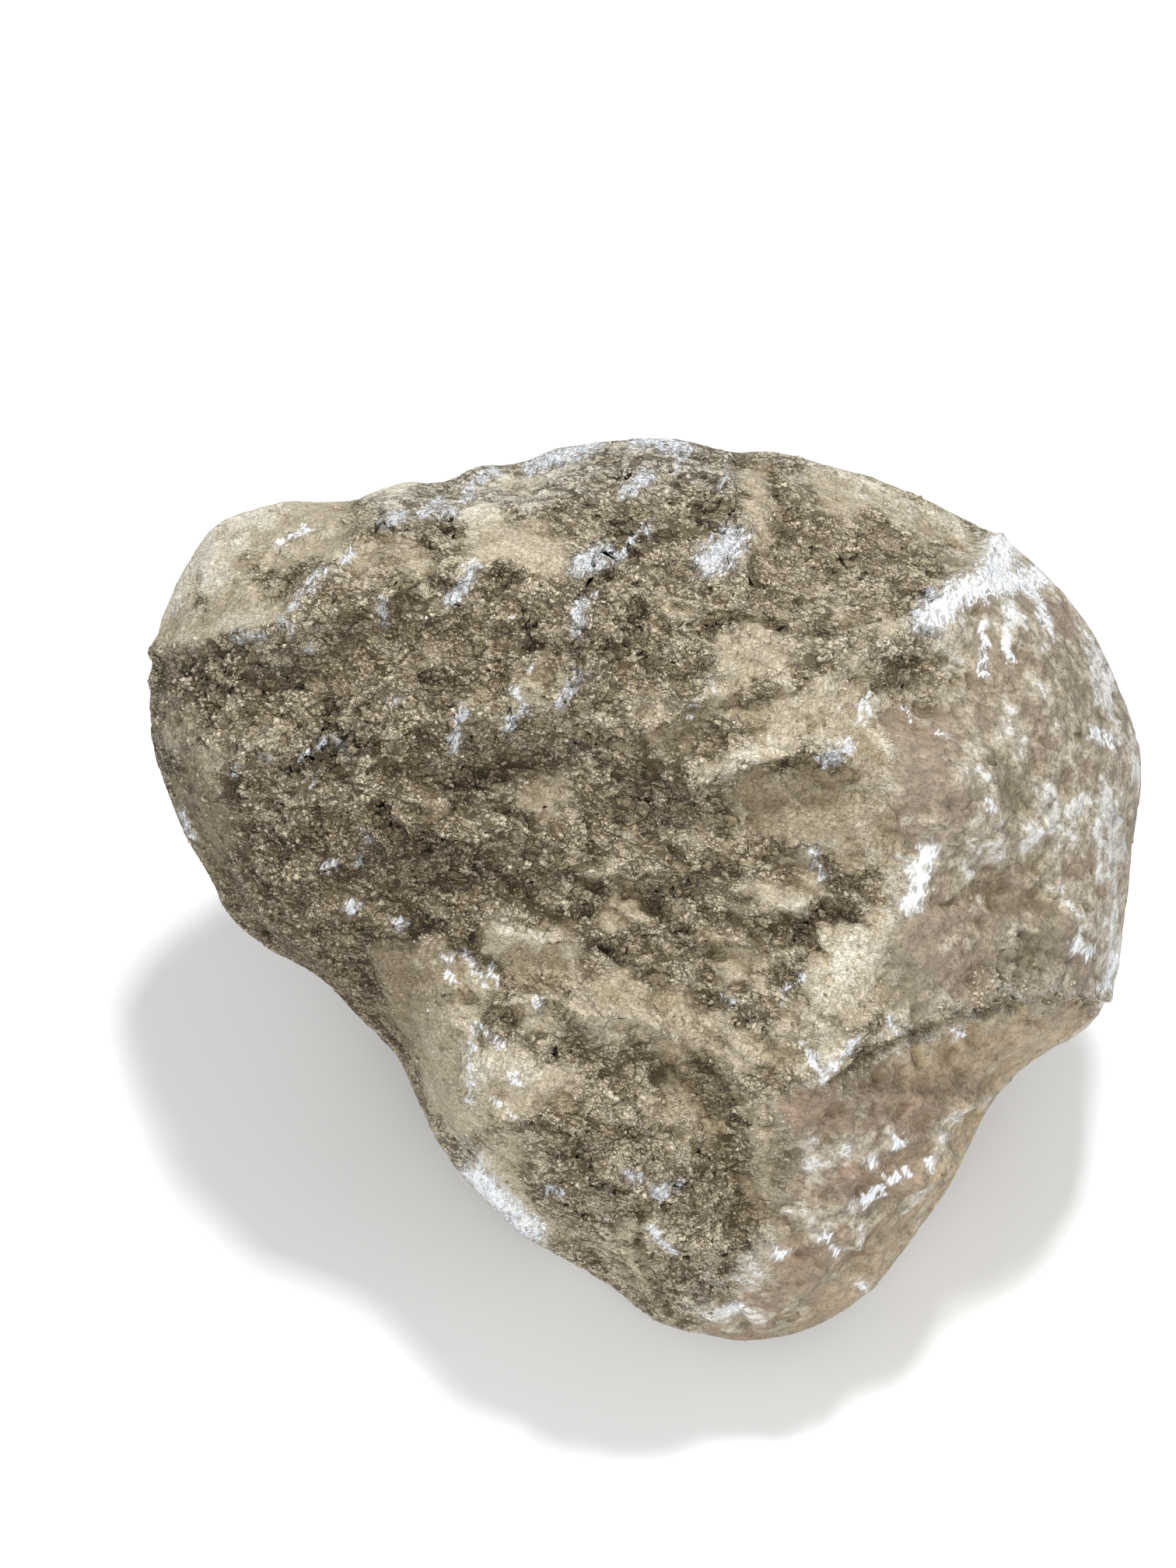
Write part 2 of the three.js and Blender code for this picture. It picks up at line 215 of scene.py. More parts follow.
# %% Carving the small forms
LEDGES = {
    "shoulder edge": ([(-150, 72), (-128, 77), (-109, 80), (-102, 92), (-92, 102), (-78, 112)], 3.1, 9, 2.5),
    "brow": ([(-106, 80), (-88, 86), (-70, 93), (-54, 100), (-36, 104)], 2.8, 10, 3),
    "spine": ([(-60, 45), (-56, 54), (-42, 50), (-38, 60), (-24, 58), (-19, 70), (-20, 88),
        (-10, 102)], 3.6, 9, 2.5),
    "left step": ([(-128, 36), (-117, 42), (-104, 41), (-96, 47), (-88, 43)], 2.8, 7, 2),
    "left nib": ([(-112, 2), (-99, 5), (-88, 9), (-80, 3), (-72, 5)], 2.5, 7, 2),
    "left lip": ([(-104, -8), (-92, -6), (-78, -12), (-66, -10)], 2.2, 6, 2),
    "middle step": ([(-86, 14), (-70, 17), (-54, 16), (-40, 19), (-30, 12)], 3.4, 8, 2),
    "crust shelf a": ([(-66, 24), (-50, 28), (-36, 22), (-26, 26)], 2.5, 6, 2),
    "crust shelf b": ([(-46, 2), (-32, 8), (-18, 2), (-4, 8)], 2.5, 6, 2),
    "crust shelf c": ([(-30, -8), (-14, -4), (0, -12), (14, -10)], 2.5, 6, 2),
    "crust shelf d": ([(-8, 26), (6, 22), (18, 26), (30, 20)], 2.5, 7, 2),
    "crust shelf e": ([(0, 6), (14, 4), (24, 8), (34, 4)], 2.2, 6, 2),
    "crust shelf f": ([(14, -18), (28, -16), (40, -22), (50, -20)], 2.2, 6, 2),
    "overhang": ([(17, 32), (27, 36), (38, 41), (50, 43), (58, 42), (66, 37)], 4.2, 10, 2),
    "sill flake": ([(-4, 46), (10, 54), (22, 60), (34, 58), (44, 62)], 2.2, 8, 2.5),
    "bulge top": ([(22, 80), (34, 83), (46, 81), (58, 77), (72, 80)], 2.5, 3, 10),
    "basin wall": ([(26, 132), (27, 118), (29, 104), (32, 92)], 2.8, 2, 6),
    "basin step": ([(44, 118), (56, 114), (68, 116), (80, 110)], 2.1, 6, 2.5),
    "corner": ([(70, 72), (82, 82), (90, 90), (104, 100), (112, 110)], 2.2, 5, 8),
    "knob ledge": ([(45, 12), (53, 10), (60, 2), (68, 4)], 2.5, 7, 2),
    "cream shelf": ([(38, -4), (48, -6), (58, -3), (66, -8)], 2.5, 6, 2),
    "lip": ([(-58, -16), (-44, -14), (-28, -18), (-12, -17), (0, -24)], 3.1, 8, 2),
    "apron": ([(-46, -36), (-30, -36), (-14, -40), (2, -42), (14, -50)], 2.5, 7, 2.5),
    "lobe flake": ([(-62, -34), (-52, -32), (-42, -38), (-34, -36)], 2.1, 6, 2),
    "foot flake a": ([(-44, -70), (-30, -72), (-18, -78), (-8, -76)], 2.1, 6, 2),
    "foot flake b": ([(-34, -88), (-22, -92), (-10, -90), (2, -96)], 2.1, 6, 2),
    "foot flake c": ([(-12, -108), (0, -106), (12, -112), (22, -110)], 2.1, 6, 2),
    "long ledge": ([(52, -60), (60, -54), (68, -48), (84, -41), (98, -35), (122, -31),
        (142, -34)], 3.6, 8, 1.8),
    "right shelf a": ([(84, 18), (98, 20), (110, 15), (124, 17)], 1.7, 8, 4),
    "right shelf b": ([(90, -12), (104, -8), (118, -14), (132, -12)], 2.0, 8, 3),
    "face flake a": ([(62, -66), (78, -64), (92, -70), (102, -66)], 1.8, 6, 2.5),
    "face flake b": ([(56, -92), (68, -88), (80, -92), (92, -86)], 2.1, 6, 2),
    "face flake c": ([(50, -112), (60, -108), (70, -112), (78, -106)], 1.8, 6, 2),
    "rim edge": ([(36, -133), (50, -123), (66, -107), (82, -92), (96, -82), (104, -68)], 2.5, 7, 3),
}
CRACKS = {
    "bulge crack": ([(27, 84), (36, 83), (46, 80), (57, 78)], 2.8, 1.5),
    "deep fold": ([(-78, 36), (-66, 32), (-58, 30), (-46, 38), (-36, 38)], 1.8, 3.5),
    "under overhang": ([(36, 35), (42, 38), (50, 39), (55, 37)], 2.2, 2.2),
    "diagonal a": ([(-46, 6), (-36, -4), (-24, -12), (-16, -16), (-8, -22)], 1.6, 1.8),
    "diagonal b": ([(-8, 2), (-2, -2), (6, -8)], 1.8, 2),
    "diagonal c": ([(2, 16), (10, 10), (18, 2)], 1.5, 2),
    "diagonal d": ([(-24, 6), (-14, -2), (-6, -10)], 1.5, 2),
    "diagonal e": ([(45, -9), (50, -15), (52, -18), (57, -22)], 1.6, 1.2),
    "diagonal f": ([(44, 3), (52, -1), (58, -6), (66, -10), (70, -12)], 1.8, 1.6),
    "diagonal g": ([(26, -8), (33, -14), (38, -20)], 1.3, 1.3),
    "diagonal h": ([(12, -12), (18, -18), (24, -22)], 1.3, 1.3),
    "diagonal i": ([(13, -49), (17, -54), (24, -60), (30, -67)], 1.8, 1.6),
    "diagonal j": ([(22, -98), (28, -105), (33, -112)], 1.3, 1.4),
    "foot crease": ([(0, -100), (-2, -110), (2, -122), (8, -132)], 1.4, 1.6),
    "network a": ([(-16, 2), (-8, -4), (-2, -2), (6, -10), (12, -9)], 1.4, 1.5),
    "under long ledge": ([(58, -60), (68, -53), (80, -47), (96, -41), (116, -37)], 1.5, 1.6),
    "ledge split": ([(84, -38), (84, -46), (86, -54)], 2.0, 1.5),
    "trough": ([(8, -54), (18, -66), (26, -80), (30, -94), (28, -108)], 2.0, 4),
    "left crease": ([(-88, -22), (-84, -34), (-81, -42), (-75, -51)], 1.8, 2.5),
    "foot crack": ([(24, -128), (30, -134), (34, -140)], 1.8, 1.8),
    "spine crack": ([(-30, 58), (-29, 68), (-32, 76)], 1.5, 1.8),
    "basin crack": ([(40, 128), (44, 116), (42, 106)], 1.5, 2),
}
PITS = {
    "red pit": (29, 58, 3.2, 2.6),
    "corner pit": (103, 85, 2.4, 1.8),
    "foot pit a": (49, -89, 1.8, 1.8),
    "foot pit b": (48, -83, 1.8, 1.8),
    "foot pit c": (68, -94, 2.2, 1.8),
    "foot pit d": (22, -80, 1.8, 1.6),
    "foot pit e": (58, -78, 1.6, 1.4),
    "crust pit a": (6, -34, 2.4, 2.0),
    "crust pit b": (-12, -58, 2.0, 1.6),
    "crust pit c": (-70, 46, 2.6, 1.8),
    "crust pit d": (12, 88, 2.4, 1.8),
    "rim pit a": (118, -30, 2.0, 1.8),
}
LEDGE_LIFT = 1.2
LEDGE_HOLLOWNESS = 1.6


def carve_small_forms(mesh):
    places, normals = read_places(mesh), read_normals(mesh)
    u, v, w = on_sheet(places)
    raised = np.zeros(len(u))
    for path, height, left_reach, right_reach in LEDGES.values():
        distance, left = along_path(u, v, path)
        reach = right_reach + (left_reach - right_reach) * (left + 1) / 2
        raised += LEDGE_LIFT * height * np.clip(1 - distance / reach, 0, 1) ** LEDGE_HOLLOWNESS
    for path, depth, half_width in CRACKS.values():
        distance, _ = along_path(u, v, path)
        raised -= depth * np.exp(-((distance / half_width) ** 2))
    for pit_u, pit_v, radius, depth in PITS.values():
        raised -= depth * np.exp(-(((u - pit_u) ** 2 + (v - pit_v) ** 2) / radius**2))
    raised *= facing_eye(w, normals)
    write_places(mesh, places + normals * raised[:, None] * MM)


carve_small_forms(calcite_stone.data)
print("carved:", len(LEDGES), "ledges,", len(CRACKS), "cracks,", len(PITS), "pits")

# %% [markdown]
# ## Where each surface lies
# Bare calcite shows on the right and lower right, pale films where the crust is thin, and a honey-coloured
# band along the rim. Painted shade darkens the hollows and folds, the left flank and the places under the
# shoulder and ledges, and on the back the same field gives broad darker patches of crust. An image could be
# painted for them, but then the stone would have to be unwrapped. Instead each patch is an outline on the
# sheet with a strength, and every vertex of the skin keeps how strongly it lies in each surface. The back has
# the same surfaces, in broad patches that crossing waves give.

# %% Patches of each surface
BARE = {
    "right side": ([(96, 98), (106, 108), (130, 112), (150, 98), (165, 76), (174, 53), (176, 36), (174, 14),
        (172, -8), (170, -23), (160, -34), (111, -34), (95, -37), (84, -43), (78, -36), (76, -20), (78, -4),
        (80, 10), (78, 27), (76, 40), (72, 51), (72, 60), (84, 68), (91, 84)], 1.0),
    "lower right": ([(47, -62), (62, -61), (80, -47), (95, -43), (117, -37), (165, -36), (158, -50),
        (140, -68), (128, -78), (120, -88), (114, -100), (104, -114), (88, -132), (70, -146), (50, -154),
        (27, -154), (18, -134), (34, -118), (41, -104), (47, -89), (45, -74), (41, -66)], 1.0),
}
SMOOTH = {
    "shoulder": ([(-166, 73), (-166, 84), (-158, 106), (-148, 122), (-130, 132), (-111, 136), (-93, 130),
        (-91, 106), (-99, 100), (-106, 88), (-116, 80), (-132, 76)], 1.0),
    "top middle": ([(-54, 120), (-36, 114), (-24, 108), (-22, 99), (-34, 98), (-50, 101), (-60, 108)], 0.95),
    "top slope": ([(-56, 124), (-36, 130), (-18, 132), (-22, 126), (-40, 120)], 0.75),
    "basin wall": ([(31, 132), (40, 132), (40, 112), (38, 100), (32, 100), (31, 116)], 0.85),
    "basin top": ([(48, 130), (62, 132), (76, 126), (92, 118), (106, 110), (98, 104), (84, 108), (74, 114),
        (62, 112), (50, 118)], 0.85),
    "bulge": ([(20, 80), (32, 82), (46, 80), (58, 76), (70, 76), (72, 62), (70, 50), (60, 44), (46, 43),
        (32, 36), (22, 32), (16, 36), (28, 44), (36, 48), (24, 52), (18, 58), (24, 64), (18, 72)], 0.8),
    "corner slope": ([(60, 90), (74, 88), (88, 84), (84, 76), (70, 76), (62, 80)], 0.6),
    "under overhang": ([(24, 30), (36, 36), (52, 38), (66, 36), (82, 34), (84, 8), (70, 4), (54, 12),
        (40, 14), (28, 18)], 0.88),
    "cream shelf": ([(28, 0), (40, 2), (52, 2), (60, -4), (52, -9), (38, -8), (28, -6)], 0.95),
    "apron": ([(-52, -9), (-38, -10), (-24, -13), (-16, -20), (-18, -30), (-32, -30), (-44, -26),
        (-54, -18)], 0.85),
    "lens": ([(-12, -2), (-4, -2), (6, -8), (2, -13), (-8, -12), (-14, -8)], 0.9),
    "left flank": ([(-150, 60), (-138, 56), (-128, 40), (-124, 20), (-128, 0), (-134, 0), (-144, 20),
        (-151, 44)], 0.6),
    "left foot": ([(-104, 8), (-90, 10), (-72, 4), (-62, -4), (-70, -14), (-90, -22), (-110, -18),
        (-118, -6)], 0.35),
    "lobe": ([(-84, -18), (-66, -16), (-50, -20), (-44, -32), (-52, -44), (-22, -58), (-20, -68), (-40, -72),
        (-54, -78), (-66, -72), (-70, -54), (-80, -38)], 0.9),
    "fibrous slope": ([(-30, -22), (0, -26), (24, -34), (44, -50), (46, -64), (24, -60), (0, -52),
        (-24, -44)], 0.65),
    "trough side": ([(30, -58), (44, -64), (46, -100), (38, -114), (30, -92)], 0.6),
    "foot": ([(-50, -78), (-38, -76), (-32, -84), (-36, -94), (-24, -108), (-30, -112), (-48, -100),
        (-58, -88)], 0.85),
    "column": ([(-6, -100), (6, -102), (10, -114), (6, -126), (22, -134), (8, -136), (-6, -124),
        (-14, -112)], 0.55),
    "green rub": ([(-36, 34), (-28, 34), (-20, 28), (-24, 20), (-34, 20), (-38, 26)], 0.9),
    "pale rub": ([(-70, 28), (-60, 28), (-58, 20), (-66, 18), (-72, 22)], 0.8),
    "crown streak": ([(0, 95), (6, 92), (18, 82), (14, 80), (4, 86)], 0.8),
    "sill rub": ([(-2, 54), (12, 54), (8, 46), (-4, 44)], 0.7),
    "brow": ([(-92, 110), (-70, 114), (-62, 98), (-76, 90), (-92, 94)], 0.6),
    "knob": ([(40, 14), (54, 14), (60, 6), (52, 2), (42, 6)], 0.6),
    "sill end": ([(-4, 56), (8, 62), (22, 54), (20, 40), (4, 38), (-6, 46)], 0.6),
    "spine rub": ([(-44, 66), (-30, 74), (-20, 66), (-26, 54), (-40, 54)], 0.55),
    "below the knob": ([(14, -14), (30, -12), (44, -20), (40, -34), (22, -32)], 0.6),
    "ledge root": ([(42, -34), (58, -34), (70, -46), (62, -58), (46, -60), (38, -46)], 0.75),
    "trough head": ([(0, -56), (16, -56), (26, -70), (22, -86), (6, -84), (-4, -70)], 0.55),
    "apron left": ([(-42, -30), (-24, -30), (-22, -46), (-40, -46)], 0.6),
    "left of the spine": ([(-62, 62), (-48, 64), (-44, 48), (-60, 46)], 0.6),
    "low rub": ([(-20, 8), (-8, 8), (0, 0), (-10, -2), (-20, 2)], 0.6),
    "right middle": ([(54, -12), (66, -10), (80, 0), (80, -24), (76, -40), (60, -44), (48, -34)], 0.85),
    "beside the calcite": ([(60, 60), (76, 60), (84, 30), (82, 4), (68, 4), (62, 30)], 0.9),
    "top left rim": ([(-106, 112), (-92, 117), (-78, 121), (-64, 128), (-50, 136), (-40, 152), (-90, 142),
        (-112, 128)], 0.85),
}
CRUMBLED = {
    "on the shoulder": ([(-122, 100), (-104, 100), (-100, 92), (-108, 86), (-118, 90)], 0.9),
    "shoulder corner": ([(-141, 92), (-135, 92), (-134, 86), (-140, 85)], 0.7),
    "on the bulge": ([(46, 73), (58, 73), (61, 66), (50, 63)], 1.0),
    "by the red pit": ([(30, 64), (37, 62), (38, 56), (31, 56)], 0.9),
    "under the corner": ([(73, 62), (78, 73), (91, 77), (102, 71), (100, 58), (89, 53), (78, 55)], 0.6),
    "above the ledge": ([(98, -32), (93, -23), (104, -17), (119, -12), (128, -19), (126, -30),
        (111, -34)], 0.45),
}
CREAM = {
    "shoulder": ([(-150, 84), (-144, 98), (-134, 110), (-122, 112), (-120, 102), (-130, 94),
        (-138, 88)], 0.85),
    "shoulder slope": (SMOOTH["shoulder"][0], 0.3),
    "shoulder rim": ([(-165, 77), (-168, 84), (-158, 110), (-148, 122), (-130, 132), (-111, 136), (-95, 130),
        (-108, 117), (-121, 112), (-132, 105), (-138, 95), (-142, 84)], 1.0),
    "top rim": ([(-92, 117), (-78, 136), (-60, 138), (-44, 146), (-14, 154), (3, 156), (19, 152), (36, 150),
        (30, 122), (8, 122), (-10, 120), (-32, 116), (-50, 112), (-76, 112)], 0.9),
    "top right rim": ([(36, 150), (60, 148), (74, 146), (94, 138), (118, 124), (100, 104), (78, 116),
        (60, 125), (40, 129)], 0.65),
    "right rim": ([(126, 102), (143, 78), (153, 53), (156, 34), (153, 12), (150, -10), (150, -26),
        (144, -22), (145, 12), (148, 34), (145, 52), (136, 74)], 1.0),
    "top middle": (SMOOTH["top middle"][0], 0.35),
    "bulge": ([(24, 80), (40, 80), (58, 76), (70, 74), (70, 52), (58, 46), (44, 46), (36, 50),
        (28, 66)], 0.35),
    "overhang sill": ([(36, 45), (40, 50), (58, 50), (62, 44), (48, 43)], 0.6),
    "chip line": ([(22, 30), (20, 34), (34, 41), (36, 38)], 0.85),
    "cream shelf": ([(36, -5), (44, -2), (56, -4), (54, -8), (44, -9)], 1.0),
    "cream line": ([(64, 67), (72, 74), (81, 77), (79, 72), (68, 66)], 1.0),
    "lobe": ([(-56, -44), (-44, -50), (-30, -54), (-34, -60), (-54, -66), (-58, -56)], 0.7),
    "lobe top": ([(-84, -24), (-66, -18), (-54, -24), (-58, -36), (-74, -38)], 0.4),
    "foot": ([(-66, -72), (-56, -74), (-48, -86), (-56, -89), (-64, -80)], 0.8),
    "foot edge": ([(-55, -90), (-46, -91), (-36, -102), (-30, -112), (-44, -104)], 1.0),
    "apron": ([(-52, -9), (-38, -9), (-24, -13), (-30, -17), (-48, -19)], 0.65),
    "right middle": ([(56, -14), (70, -10), (80, -14), (76, -34), (64, -46), (52, -48), (52, -32)], 0.5),
    "ledge root": ([(42, -38), (58, -38), (68, -48), (60, -58), (48, -58)], 0.55),
    "pale strip": ([(65, 49), (78, 47), (84, 27), (80, 5), (73, -12), (58, -23), (54, -17), (65, -4),
        (69, 14), (62, 31)], 0.45),
    "foot column": ([(10, -120), (30, -122), (38, -130), (24, -136), (10, -132)], 0.6),
    "left edge": ([(-168, 60), (-147, 47), (-142, 27), (-135, 9), (-150, 5), (-162, 27)], 0.6),
}
HONEY = {
    "rim band": ([(143, -35), (139, -44), (122, -56), (110, -66), (100, -90), (89, -104), (75, -120),
        (56, -133), (47, -136), (58, -126), (72, -109), (82, -98), (92, -83), (98, -69), (108, -54),
        (122, -43)], 1.0),
    "ledge face": ([(76, -46), (100, -38), (122, -35), (116, -50), (98, -60), (80, -58)], 1.0),
}
WARM = {
    "pink edge": ([(143, 18), (152, 14), (150, -4), (141, -8), (139, 7)], 0.8),
    "red pit": ([(26, 61), (32, 61), (33, 55), (27, 55)], 1.0),
    "lower right": (BARE["lower right"][0], 0.6),
    "basin wall": ([(27, 130), (42, 130), (42, 93), (28, 93)], 1.0),
}
# painted shade in front: darker under the shoulder and ledges, on the left flank and foot, in the folds and
# beside the calcite; on the back, broad darker patches of crust
SHADE_AND_DARK_CRUST = {
    "middle": ([(-80, 53), (-60, 53), (-40, 44), (-10, 36), (3, 31), (-5, 18), (-40, 27), (-65, 36)], 0.35),
    "middle fold": ([(-80, 42), (-64, 34), (-50, 38), (-44, 32), (-60, 26), (-80, 32)], 0.8),
    "spine hollow": ([(-62, 70), (-50, 92), (-30, 92), (-24, 76), (-36, 66), (-50, 62)], 0.3),
    "left middle": ([(-120, 76), (-90, 80), (-62, 92), (-48, 80), (-56, 56), (-84, 52), (-120, 58)], 0.55),
    "left flank": ([(-160, 56), (-140, 40), (-118, 20), (-90, 24), (-60, 30), (-46, 10), (-44, -12),
        (-60, -26), (-70, -50), (-110, -40), (-140, 0), (-160, 40)], 0.9),
    "left foot": ([(-120, 8), (-56, 2), (-56, -16), (-84, -30), (-84, -56), (-120, -30)], 1.1),
    "under shoulder": ([(-150, 73), (-119, 75), (-91, 77), (-89, 62), (-97, 49), (-137, 51),
        (-152, 60)], 0.4),
    "beside the calcite": ([(24, 32), (60, 38), (80, 46), (84, 30), (82, 4), (60, 2), (40, 10)], 0.6),
    "right of the knob": ([(100, 62), (150, 62), (156, 30), (120, 36)], 0.4),
    "lower right": ([(40, -66), (62, -62), (90, -60), (100, -80), (84, -108), (56, -140), (24, -156),
        (20, -134), (36, -116)], 0.85),
    "tip": ([(108, -37), (146, -36), (134, -58), (112, -54)], 0.9),
    "right low": ([(76, -4), (90, 2), (110, -2), (130, -2), (136, -20), (118, -32), (92, -36),
        (76, -36)], 0.9),
}
PATCH_FEATHER = 6
BARE_FEATHER = 13


def paint_patches(u, v, patches, feather=PATCH_FEATHER):
    """The strongest of the patches at each place."""
    painted = np.zeros(len(u))
    u, v = wander(u, v, size=22, reach=1.6)
    for outline, strength in patches.values():
        painted = np.maximum(painted, strength * patch(u, v, outline, feather))
    return painted


def back_patches(places, size, turn):
    """Broad patches over the back of the stone, from three crossing waves that are bent by smaller ones."""
    x, y, z = (places / MM / size).T
    x, z = (x + 0.45 * np.sin(z * 2.9 + turn) + 0.14 * np.sin(z * 8.3 + y * 5.1),
            z + 0.45 * np.sin(x * 2.6 - turn) + 0.14 * np.sin(x * 7.1 - y * 6.3))
    bent = np.sin(x * 1.3 + turn + np.sin(y * 1.7 + turn)) + np.sin(y * 1.1 - turn + np.sin(z * 1.9))
    return smooth_step(-0.6, 1.4, bent + np.sin(z * 1.5 + turn + np.sin(x * 1.2)))


# for each surface its patches in front, then the strength, size and turn of its patches on the back
SURFACES = {
    "bare": (BARE, 0.8, 42, 0.7),
    "smooth": (SMOOTH, 0.8, 34, 1.1),
    "cream": (CREAM, 0.6, 28, 2.1),
    "honey": (HONEY, 0.7, 36, 4.0),
    "warm": (WARM, 0.5, 50, 5.2),
    "deep": (SHADE_AND_DARK_CRUST, 0.3, 26, 3.3),
}


def surface_fields(mesh):
    """The strength of each surface at every place of the skin."""
    places, normals = read_places(mesh), read_normals(mesh)
    u, v, w = on_sheet(places)
    in_front = smooth_step(-14, 4, w)
    to_the_right = smooth_step(0, 80, u)
    whole = 1 - paint_patches(u, v, CRUMBLED)
    fields = {}
    for name, (patches, strength, size, turn) in SURFACES.items():
        front = paint_patches(u, v, patches, BARE_FEATHER if name == "bare" else PATCH_FEATHER)
        back = strength * back_patches(places, size, turn)
        if name in ("bare", "smooth"):
            front *= whole
        if name == "bare":
            back = np.maximum(to_the_right, back)
        if name == "honey":
            back *= to_the_right
        fields[name] = in_front * front + (1 - in_front) * back
    return fields, u, v, w, normals


print("patches:", {name: len(patches) for name, (patches, *_) in SURFACES.items()})

# %% [markdown]
# ## Grain
# The crust lies in ragged layers and flakes that follow the slope from upper left to lower right, and winding
# creases part them. The bare calcite breaks in small flat facets. Displacing the skin by a texture gives only
# rounded lumps, so flakes and facets are set by tilting each patch of skin about its own middle, and layers
# by cutting swellings into steps. The finer grain is rounded, and procedural textures press it in, held to
# their own surface by a vertex group. The skin is thinned at the end, when it has all its relief.

# %% Grouping the skin
def group_skin(obj, name, weights):
    group = obj.vertex_groups.new(name=name)
    steps = np.round(weights * 10).astype(int)
    for step in range(1, 11):
        members = np.nonzero(steps == step)[0].tolist()
        group.add(members, step / 10, "REPLACE")
    return group


skin_fields, _, _, _, skin_normals = surface_fields(calcite_stone.data)
crust_share = 1 - 0.85 * smooth_step(0.25, 0.9, skin_fields["bare"])
crust_share *= 1 - 0.6 * skin_fields["smooth"]
squareness = np.abs(skin_normals @ np.array(OUT_OF_FACE))
rim_ease = 0.2 + 0.8 * smooth_step(0.1, 0.6, squareness)
calcite_share = (1 - crust_share) * rim_ease
crust_share = crust_share * rim_ease
group_skin(calcite_stone, "crust", crust_share)
group_skin(calcite_stone, "calcite", calcite_share)
print("mean share of crust:", round(float(crust_share.mean()), 2))
print("mean share of calcite:", round(float(calcite_share.mean()), 2))

# %% Breaking the skin into facets
HIGHEST_STEP = 1.3 * MM
FLAKE_TURN = math.radians(-34)
FLAKE_AXES = SHEET_AXES @ Matrix.Rotation(FLAKE_TURN, 3, "Z")


def fractal_waves(places, roughness, octaves):
    return np.array([noise.fractal(Vector(place), roughness, 2.0, octaves) for place in places])


def press_facets(mesh, size, tilt, stretch, shares, seed):
    """Tilts small patches of the skin, each about size millimetres across, about their own middles."""
    places, normals = read_places(mesh), read_normals(mesh)
    laid = places @ np.array(FLAKE_AXES) / (stretch, 1, 1)
    maker = np.random.default_rng(seed)
    count = int(len(laid) * SKIN_STEP**2 / (size * MM) ** 2 / stretch)
    middles = maker.choice(len(laid), count, replace=False)
    finder = kdtree.KDTree(len(middles))
    for index, middle in enumerate(middles):
        finder.insert(laid[middle], index)
    finder.balance()
    nearest = np.array([finder.find(place)[1] for place in laid])
    slopes = maker.normal(0, tilt, (len(middles), 3))
    lift = np.einsum("ij,ij->i", places - places[middles[nearest]], slopes[nearest])
    lift = HIGHEST_STEP * np.tanh(lift / HIGHEST_STEP)
    write_places(mesh, places + normals * (lift * shares)[:, None])
    return len(middles)


def press_layers(mesh, size, swell, rise, shares):
    """Breaks swellings of the skin into flat-topped layers that end in ragged edges of the given rise."""
    places, normals = read_places(mesh), read_normals(mesh)
    laid = places @ np.array(FLAKE_AXES) / (size * MM) / (1.5, 1, 1)
    layers = fractal_waves(laid, 0.9, 4) * swell / rise
    flat = np.floor(layers)
    lift = (flat + smooth_step(0.7, 1.0, layers - flat) - layers) * rise * MM
    write_places(mesh, places + normals * (lift * shares)[:, None])
    return int(np.ptp(flat)) + 1


def press_creases(mesh, size, depth, shares, shift):
    """Presses in winding creases that lie along the flakes, each fading in and out."""
    places, normals = read_places(mesh), read_normals(mesh)
    laid = places @ np.array(FLAKE_AXES) / (size * MM) / (2.2, 1, 1) + shift
    waves = fractal_waves(laid, 1.0, 3)
    strength = smooth_step(-0.15, 0.35, np.array([noise.noise(Vector(place * 0.7)) for place in laid]))
    crease = np.exp(-((waves / 0.07) ** 2)) * strength
    write_places(mesh, places - normals * (depth * MM * crease * shares)[:, None])
    return round(float((crease > 0.5).mean()), 3)


skin = calcite_stone.data
print("layers:", press_layers(skin, size=14, swell=3.2, rise=1.1, shares=crust_share))
print("share of creases:", press_creases(skin, size=15, depth=2.4, shares=crust_share, shift=3.1))
print("share of small creases:", press_creases(skin, size=8, depth=1.3, shares=crust_share, shift=9.7))
print("flakes:", press_facets(skin, size=9, tilt=0.2, stretch=1.8, shares=crust_share, seed=3))
print("small flakes:", press_facets(skin, size=4, tilt=0.22, stretch=1.6, shares=crust_share, seed=4))
print("facets:", press_facets(skin, size=8, tilt=0.17, stretch=1.3, shares=calcite_share, seed=5))

# %% Pressing in the grain
lie_of_flakes = new_object("lie_of_flakes", None)
lie_of_flakes.matrix_world = FLAKE_AXES.to_4x4() @ Matrix.Diagonal((2.0, 1, 1, 1))


def press_texture(obj, name, kind, size, depth, group, middle=0.5, **settings):
    texture = bpy.data.textures.new(name, kind)
    texture.noise_scale = size * MM
    for key, value in settings.items():
        setattr(texture, key, value)
    press = obj.modifiers.new(name, "DISPLACE")
    press.texture = texture
    press.texture_coords = "OBJECT"
    press.texture_coords_object = lie_of_flakes
    press.vertex_group = group
    press.strength = depth * MM
    press.mid_level = middle
    bpy.context.view_layer.objects.active = obj
    bpy.ops.object.modifier_apply(modifier=press.name)


LUMPY = {"middle": 0.3, "weight_1": -1.0, "weight_2": 1.0}
press_texture(calcite_stone, "clumps", "CLOUDS", 9, 1.8, "crust", noise_depth=3, noise_type="HARD_NOISE")
press_texture(calcite_stone, "lumps", "VORONOI", 7, 1.5, "crust", **LUMPY)
press_texture(calcite_stone, "small lumps", "VORONOI", 3.5, 1.0, "crust", **LUMPY)
press_texture(calcite_stone, "crumbs", "CLOUDS", 2.4, 1.4, "crust", noise_depth=2, noise_type="HARD_NOISE")
press_texture(calcite_stone, "swellings", "CLOUDS", 14, 2.0, "calcite", noise_depth=4)
bpy.data.objects.remove(lie_of_flakes)

# %% Thinning the skin
SKIN_TRIANGLES = 190_000

